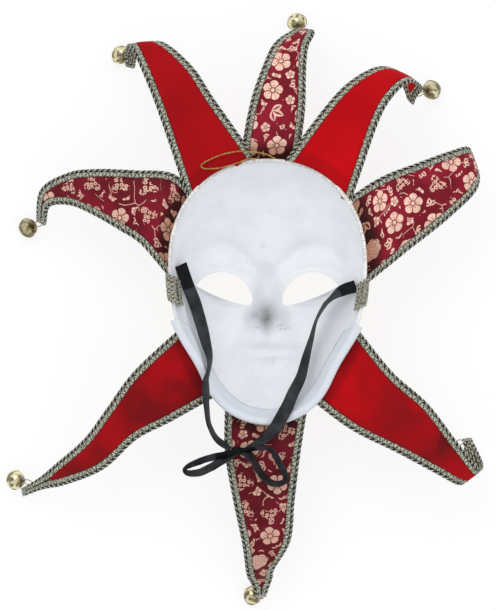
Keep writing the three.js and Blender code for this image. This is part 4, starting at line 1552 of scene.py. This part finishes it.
def lay_braid(bm, track, keep=lambda point: True, edged=True):
    """Gimp braid along a track: a plait, with a dark and a pale ply twisted along its outer edge.

    keep says which points stay, so that each strand ends at the wall by itself.
    """
    count = int(track.length / BRAID_STEP)
    spots = [track.length * i / count for i in range(count + 1)]
    silver, cream, sage, dark = range(4)

    def strand(material, centre, swing, lift, pitch, phase=0, radius=YARN, lifts=1):
        """A strand that swings across the braid, and is lifted a number of times in each swing."""
        points = []
        for s in spots:
            turn = TURN * (s / pitch + phase)
            points.append(track.place(s, centre + swing * math.sin(turn), lift * math.cos(turn * lifts)))
        points = outer_end(points, keep)
        if len(points) > 3:
            tube(bm, points, radius, material)

    if edged:
        for phase, material in ((0, dark), (0.5, silver)):
            strand(material, centre=1.15 * MM, swing=0.6 * MM, lift=0.55 * MM, pitch=5 * MM, phase=phase)
        # A thin dark thread along the inner edge: a painted shadow line between the braid and the cloth
        strand(dark, centre=7.1 * MM, swing=0.12 * MM, lift=0.12 * MM, pitch=2.4 * MM, radius=YARN / 2)
        centre, swing, pitch = 4.6 * MM, 1.75 * MM, 6.4 * MM
    else:
        centre, swing, pitch = sizes().braid / 2, 2.9 * MM, 3.4 * MM
    for quarter, material in enumerate((silver, cream, sage, cream)):
        strand(material, centre, swing, 0.5 * MM, pitch, quarter / 4, lifts=2)
    # Dark backing: painted shade in the gaps between the strands
    backing(bm, track, spots[::2], keep, dark)


def backing(bm, track, spots, keep, material):
    """The flat ground that the strands are stitched to, dark in the braid: painted shade in the gaps between the
    strands.
    """
    kept = outer_end(spots, lambda s: keep(track.place(s, 3 * MM, 0)))
    if len(kept) < 3:
        return
    near, far, half = 1.3 * MM, sizes().braid - 0.5 * MM, 0.25 * MM
    corners = [(near, half), (far, half), (far, -half), (near, -half), (near, half)]

    def place(u, v):
        inward, up = corners[round(v * 4)]
        return track.place(kept[round(u * (len(kept) - 1))], inward, up)

    verts = grid(bm, len(kept) - 1, 4, place, lambda u, v: (u, v), material)
    bmesh.ops.remove_doubles(bm, verts=verts, dist=1e-7)
    ends = [e for e in bm.edges if e.is_boundary]
    bmesh.ops.holes_fill(bm, edges=ends, sides=4)


def whipping(bm, strip, material):
    """A few turns of thread round the tip, where the two edges of braid meet."""
    turns, steps = 4, 14
    start, stretch = 0.962, 0.034  # parts of the point's length
    beside, above, thread = 0.35 * MM, 1.55 * MM, 0.42 * MM
    points = []
    for i in range(turns * steps + 1):
        t = start + stretch * i / (turns * steps)
        turn = TURN * i / steps
        half = strip.width(t) / 2 + beside
        points.append(strip.at(t, half * math.cos(turn), above * math.sin(turn)))
    tube(bm, points, thread, material, sides=5)


def make_edging(name, plug, finishes):
    """The braid round one cloth point."""
    strip = Strip(POINTS[name])
    bm = bmesh.new()
    for side in (-1, 1):
        lay_braid(bm, EdgeTrack(strip, side), lambda point: not plug.holds(point))
    whipping(bm, strip, 0)
    settle(piece_from(f"edging_{name}", bm, *finishes), "gimp_braid", f"braid_{name}")


def make_rim_braid(finishes):
    """The braid round the outside of the forehead, with its two ends turned over the rim."""
    bm = bmesh.new()
    lay_braid(bm, RimTrack(BRAID_FROM, BRAID_TO))
    for end, back, depth in zip((BRAID_FROM, BRAID_TO), (1, -1), TURNED_DEPTHS):
        for lane in range(LANES):
            lean = LEAN * lane / LANES
            lower, upper = end + back * (LEAN / 2 - lean), end + back * (TURNED - lean)
            lay_braid(bm, TurnedTrack(lower, upper, depth, lane), edged=lane == 1)
    settle(piece_from("rim_braid", bm, *finishes), "gimp_braid", "face_braid")


def half_circle(radius, steps):
    """Points (r, z) from the top of a ball round its side to its bottom."""
    turns = [math.pi * i / steps for i in range(steps + 1)]
    return [(radius * math.sin(turn), radius * math.cos(turn)) for turn in turns]


def bell_body():
    """A hollow bell about the origin, with a rolled seam round it and its slot at the far end, in +Z."""
    s = sizes()
    bm = bmesh.new()
    seam, lip = 0.55 * MM, 0.5 * MM
    ball = half_circle(s.bell, 15)
    rolled = [(s.bell, seam), (s.bell + lip, seam * 0.7), (s.bell + lip, -seam * 0.7), (s.bell, -seam)]
    far_half = [p for p in ball if p[1] >= 1.3 * seam]
    near_half = [p for p in ball if p[1] <= -1.3 * seam]
    thin = s.bell - s.bell_wall
    for profile in (far_half + rolled + near_half, half_circle(thin, 10)):
        verts = [bm.verts.new((r, 0, z)) for r, z in profile]
        edges = [bm.edges.new(pair) for pair in zip(verts, verts[1:])]
        bmesh.ops.spin(
            bm, geom=verts + edges, axis=(0, 0, 1), cent=(0, 0, 0), angle=TURN, steps=32, use_merge=True
        )
    bmesh.ops.remove_doubles(bm, verts=bm.verts, dist=1e-6)
    bmesh.ops.recalc_face_normals(bm, faces=bm.faces)
    inside = [f for f in bm.faces if f.calc_center_median().length < thin + 0.1 * MM]
    bmesh.ops.reverse_faces(bm, faces=[f for f in inside if f.normal.dot(f.calc_center_median()) > 0])
    mesh = bpy.data.meshes.new("bell_body")
    bm.to_mesh(mesh)
    bm.free()
    body = bpy.data.objects.new("bell_body", mesh)
    bpy.context.scene.collection.objects.link(body)
    cut(body, slot_cutter(), hole_cutter())
    return body


def slot_cutter():
    """The slot across the far end of a bell."""
    s = sizes()
    bm = bmesh.new()
    bmesh.ops.create_cube(bm, size=1)
    bmesh.ops.scale(bm, verts=bm.verts, vec=(s.bell_slot, s.bell * 2.4, s.bell))
    bmesh.ops.translate(bm, verts=bm.verts, vec=(0, 0, s.bell * 0.8))
    return piece_from("slot_cutter", bm)


def hole_cutter():
    """The round holes at the two ends of the slot."""
    s = sizes()
    bm = bmesh.new()
    bmesh.ops.create_cone(
        bm, cap_ends=True, segments=20, radius1=s.bell_slot, radius2=s.bell_slot, depth=s.bell * 2.4
    )
    bmesh.ops.rotate(bm, verts=bm.verts, matrix=Matrix.Rotation(math.pi / 2, 3, "X"))
    bmesh.ops.translate(bm, verts=bm.verts, vec=(0, 0, s.bell * 0.34))
    return piece_from("hole_cutter", bm)


def ring(bm, radius, wire, matrix, stretch=1.0):
    """A round wire ring in the XY plane of a matrix, stretched along its Y."""
    made = bmesh.ops.create_circle(bm, segments=10, radius=wire / 2)
    verts = made["verts"]
    edges = list({e for v in verts for e in v.link_edges})
    bmesh.ops.rotate(bm, verts=verts, matrix=Matrix.Rotation(math.pi / 2, 3, "X"))
    bmesh.ops.translate(bm, verts=verts, vec=(radius, 0, 0))
    before = set(bm.verts) - set(verts)
    bmesh.ops.spin(
        bm, geom=verts + edges, axis=(0, 0, 1), cent=(0, 0, 0), angle=TURN, steps=28, use_merge=True
    )
    whole = [v for v in bm.verts if v not in before]
    for vert in whole:
        swell = math.hypot(vert.co.x, vert.co.y) - radius
        turn = math.atan2(vert.co.y, vert.co.x)
        vert.co.x = (radius + swell) * math.cos(turn)
        vert.co.y = (radius * stretch + swell) * math.sin(turn)
    bmesh.ops.transform(bm, verts=whole, matrix=matrix)


def tarnish(depth, dull):
    """How dark the brass is, by patina and painted dark reflection: depth runs from -1 at the shank to 1 at the far
    end, with the seam at 0.
    """
    seam = 0.9 * hump(depth - 0.03, 0.09)
    shank = 0.75 * hump(depth + 1, 0.3)
    # A dark ring near the slot's ends: a painted reflection
    band = 0.45 * hump(depth - 0.62, 0.1)
    return min(dull + seam + shank + band, 1)


def make_bell(name, body, brass, wire):
    """One bell and the wire loop that it hangs on."""
    s = sizes()
    tip = Vector(SEWN[name]) * MM if name in SEWN else Strip(POINTS[name]).at(1, 0)
    middle = Vector((*[x * MM for x in BELLS[name]], s.bell - s.bell_flat))
    axis = (tip - middle).normalized()
    level = Vector((0, 0, 1)).cross(axis).normalized()
    turned = Matrix((level.cross(axis), level, -axis)).transposed().to_4x4()
    turned.translation = middle
    bm = bmesh.new()
    bm.from_mesh(body.data)
    bmesh.ops.transform(bm, verts=bm.verts, matrix=turned)
    for vert in bm.verts:
        vert.co.z = max(vert.co.z, 0)
    shank_radius, shank_wire, shank_out = 1.5 * MM, 0.7 * MM, 0.5 * MM
    quarter = Vector((0, 1, 0)).rotation_difference(axis).to_matrix().to_4x4()
    shank = quarter @ Matrix.Rotation(math.pi / 2, 4, "Y")
    shank.translation = middle + axis * (s.bell + shank_out)
    ring(bm, shank_radius, shank_wire, shank)
    bell = piece_from(f"jingle_bell_{name}", bm, brass)
    dull = DULL.get(name, DULL_BRASS)
    paint(bell, "tarnish", lambda vert: tarnish((middle - vert.co).dot(axis) / s.bell, dull))
    settle(bell, "bell_brass", f"bell_{name}")
    clear, past_tip = 0.3 * MM, 0.9 * MM
    start = s.eyelet_wire / 2 + clear
    reach = (tip - middle).length - s.bell - start + past_tip
    loop = quarter.copy()
    loop.translation = middle + axis * (s.bell + start + reach / 2)
    bm = bmesh.new()
    ring(bm, s.eyelet, s.eyelet_wire, loop, stretch=reach / 2 / s.eyelet)
    eyelet = piece_from(f"eyelet_{name}", bm, wire)
    settle(eyelet, "eyelet_wire", f"bell_wire_{name}")


def ribbon_grid(bm, route, ends, along=110):
    """A ribbon along a route, gathered at its ends. Returns the middles of its steps and its length."""
    s = sizes()
    across = 8
    line = [Vector(r[:3]) for r in route]
    turns = [Vector((math.radians(r[3]), math.radians(r[4]), 0)) for r in route]
    middles = [catmull(line, i / along) for i in range(along + 1)]
    length = distances(middles)[-1]

    def place(u, v):
        turn = catmull(turns, u)
        side = Vector((math.cos(turn.x), math.sin(turn.x), 0)) * math.cos(turn.y)
        side.z = math.sin(turn.y)
        normal = side.cross(slope(line, u)).normalized()
        narrow = 1 - (1 - GATHERED) * sum(hump(u - end, GATHER_REACH) for end in ends)
        aside = (2 * v - 1) * narrow
        curl = 0.35 * MM * aside**2 + 0.25 * MM * noise.noise(Vector((u * 22, aside, 4)))
        return catmull(line, u) + side * (aside * s.ribbon / 2) + normal * curl

    grid(bm, along, across, place, lambda u, v: (u * length, (v - 0.5) * s.ribbon))
    return middles, length


def make_ribbon(name, node, route, satin, with_pieces=()):
    """A tie ribbon from the temple to the knot."""
    s = sizes()
    bm = bmesh.new()
    middles, length = ribbon_grid(bm, route, (1,))
    ribbon = piece_from(name, bm, satin)
    thicken(ribbon, s.ribbon_thick)
    settle(ribbon, "black_satin", node)
    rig.cord(
        ribbon,
        exit=route[0][:3],
        length=length,
        diameter=s.ribbon,
        far_end="knot",
        stiffness="limp",
        lay="loose",
        path=middles,
        with_pieces=with_pieces,
    )


def make_bow(satin):
    """Two loops of ribbon and the knot that holds them."""
    bm = bmesh.new()
    for route in BOW_LOOPS:
        ribbon_grid(bm, route, (0, 1), along=90)
    bow = piece_from("tie_bow", bm, satin)
    thicken(bow, sizes().ribbon_thick)
    bm = bmesh.new()
    bmesh.ops.create_uvsphere(bm, u_segments=32, v_segments=18, radius=1)
    folds, depth, crumple = 6, 0.07, 0.12
    for vert in bm.verts:
        fold = depth * math.sin(folds * math.atan2(vert.co.y, vert.co.z))
        swell = 1 + fold + crumple * noise.noise(vert.co * 2)
        vert.co = KNOT + Vector(a * b for a, b in zip(vert.co * swell, KNOT_SIZE))
    layer = bm.loops.layers.uv.verify()
    for face in bm.faces:
        for loop in face.loops:
            loop[layer].uv = loop.vert.co.xy
    knot = piece_from("tie_knot", bm, satin)
    settle(bow, "black_satin", "bow")
    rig.ride(knot, "root")
    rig.slot(knot, "black_satin")
    return bow, knot


def make_loop(gold):
    """The gold hanging loop: two plies twisted together."""
    s = sizes()
    route = [Vector(p) for p in HANGING_LOOP]
    count = 330
    middles = [catmull(route, i / count) for i in range(count + 1)]
    length = distances(middles)[-1]
    ply, swing, twist = s.cord * 0.28, s.cord * 0.24, 2.6 * MM
    bm = bmesh.new()
    for phase in (0, 0.5):
        points = []
        for i, middle in enumerate(middles):
            along = slope(route, i / count)
            side = along.cross(Vector((0, 0, 1))).normalized()
            turn = TURN * (i / count * length / twist + phase)
            aside = side * math.cos(turn) + side.cross(along) * math.sin(turn)
            points.append(middle + aside * swing)
        tube(bm, points, ply)
    loop = piece_from("gold_loop", bm, gold)
    settle(loop, "gold_cord", "hanging_loop")
    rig.cord(
        loop,
        exit=HANGING_LOOP[0],
        length=length,
        diameter=s.cord,
        far_end="object",
        stiffness="limp",
        lay="loose",
        path=middles,
    )


# Operators


class MASK_OT_stage(bpy.types.Operator):
    """Make the floor, the lights and the camera"""

    bl_idname = "mask.stage"
    bl_label = "Stage"

    def execute(self, context):
        scene = context.scene
        scene.view_settings.view_transform = "Standard"
        floor_bm = bmesh.new()
        bmesh.ops.create_grid(floor_bm, x_segments=1, y_segments=1, size=4)
        f = Finish("pale_floor", roughness=0.9, emission_color=(1, 1, 1), emission_strength=FLOOR_GLOW)
        f.set("Base Color", f.mix(f.noise(f.place(), 0.4), *FLOOR_GREYS))
        floor = piece_from("floor", floor_bm, f.material)
        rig.stage(floor)
        world = bpy.data.worlds.new("studio")
        world.use_nodes = True
        sky = world.node_tree.nodes["Background"].inputs
        sky["Color"].default_value = SKY
        sky["Strength"].default_value = SKY_STRENGTH
        scene.world = world
        for name, light in LIGHTS.items():
            self.light(scene, name, *light)
        camera = bpy.data.cameras.new("camera")
        camera.sensor_width = SENSOR
        camera.lens = SENSOR * (CAMERA_HEIGHT - SCALE_HEIGHT) / (PHOTO.y * PIXEL)
        camera.clip_end = 5 * CAMERA_HEIGHT
        eye = bpy.data.objects.new("camera", camera)
        middle = (PHOTO / 2 - ORIGIN_PIXEL) * PIXEL
        eye.location = (middle.x, -middle.y, CAMERA_HEIGHT)
        scene.collection.objects.link(eye)
        scene.camera = eye
        return {"FINISHED"}

    def light(self, scene, name, place, width, power, tint):
        data = bpy.data.lights.new(name, "AREA")
        data.size = width
        data.energy = power
        data.color = tint
        lamp = bpy.data.objects.new(name, data)
        lamp.location = place
        lamp.rotation_euler = (-Vector(place)).to_track_quat("-Z", "Y").to_euler()
        scene.collection.objects.link(lamp)


class MASK_OT_ribbons(bpy.types.Operator):
    """Make the two tie ribbons with their bow and knot"""

    bl_idname = "mask.ribbons"
    bl_label = "Ribbons"

    def execute(self, context):
        satin = satin_finish()
        bow, knot = make_bow(satin)
        make_ribbon("tie_left", "ribbon_left", RIBBON_LEFT, satin, [bow, knot])
        make_ribbon("tie_right", "ribbon_right", RIBBON_RIGHT, satin)
        return {"FINISHED"}


class MASK_OT_hanging_loop(bpy.types.Operator):
    """Make the gold hanging loop"""

    bl_idname = "mask.hanging_loop"
    bl_label = "Hanging Loop"

    def execute(self, context):
        make_loop(cord_finish())
        return {"FINISHED"}


class MASK_OT_shell(bpy.types.Operator):
    """Make the papier-mache shell"""

    bl_idname = "mask.shell"
    bl_label = "Shell"

    def execute(self, context):
        make_shell()
        return {"FINISHED"}


class MASK_OT_band(bpy.types.Operator):
    """Make the white cloth band on the jaw"""

    bl_idname = "mask.band"
    bl_label = "Jaw Band"

    def execute(self, context):
        make_band()
        return {"FINISHED"}


class MASK_OT_points(bpy.types.Operator):
    """Make the eight cloth points"""

    bl_idname = "mask.points"
    bl_label = "Cloth Points"

    def execute(self, context):
        plug = Plug()
        even_shade = velvet_finish("velvet_clean", False)
        patchy_shade = velvet_finish("velvet_smudged", True)
        for name in POINTS:
            if name in BROCADE:
                finish = brocade_finish(f"brocade_{name}", *BROCADE[name])
            else:
                finish = patchy_shade if name in PATCHY_SHADE else even_shade
            make_point(name, plug, finish)
        return {"FINISHED"}


class MASK_OT_braid(bpy.types.Operator):
    """Make the gimp braid round the points and the forehead"""

    bl_idname = "mask.braid"
    bl_label = "Braid"

    def execute(self, context):
        plug = Plug()
        finishes = braid_finishes()
        make_rim_braid(finishes)
        for name in POINTS:
            make_edging(name, plug, finishes)
        return {"FINISHED"}


class MASK_OT_bells(bpy.types.Operator):
    """Make the eight jingle bells with their wire loops"""

    bl_idname = "mask.bells"
    bl_label = "Bells"

    def execute(self, context):
        body = bell_body()
        brass, wire = brass_finish(), wire_finish()
        for name in POINTS:
            make_bell(name, body, brass, wire)
        bpy.data.objects.remove(body)
        return {"FINISHED"}


class MASK_PT_panel(bpy.types.Panel):
    """Lists the mask's pieces and its sizes"""

    bl_label = "Carnival Mask"
    bl_space_type = "VIEW_3D"
    bl_region_type = "UI"
    bl_category = "Mask"

    def draw(self, context):
        for step in STEPS:
            self.layout.operator(step.bl_idname)
        for group in (context.scene.mask_sizes, context.scene.mask_colours):
            box = self.layout.box()
            for name in type(group).__annotations__:
                box.prop(group, name)


STEPS = (
    MASK_OT_stage,
    MASK_OT_ribbons,
    MASK_OT_hanging_loop,
    MASK_OT_shell,
    MASK_OT_band,
    MASK_OT_points,
    MASK_OT_braid,
    MASK_OT_bells,
)
CLASSES = (MaskSizes, MaskColours, *STEPS, MASK_PT_panel)


def register():
    for cls in CLASSES:
        bpy.utils.register_class(cls)
    bpy.types.Scene.mask_sizes = bpy.props.PointerProperty(type=MaskSizes)
    bpy.types.Scene.mask_colours = bpy.props.PointerProperty(type=MaskColours)


def unregister():
    del bpy.types.Scene.mask_colours
    del bpy.types.Scene.mask_sizes
    for cls in reversed(CLASSES):
        bpy.utils.unregister_class(cls)


def main():
    register()
    bpy.ops.mask.stage()
    bpy.ops.mask.ribbons()
    bpy.ops.mask.hanging_loop()
    bpy.ops.mask.shell()
    bpy.ops.mask.band()
    bpy.ops.mask.points()
    bpy.ops.mask.braid()
    bpy.ops.mask.bells()
    with open("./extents.json", "w") as file:
        json.dump({"cad": [list(c) for c in CAD_BOX], "visual": [list(c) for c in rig.bounds()]}, file)


if __name__ == "__main__":
    main()
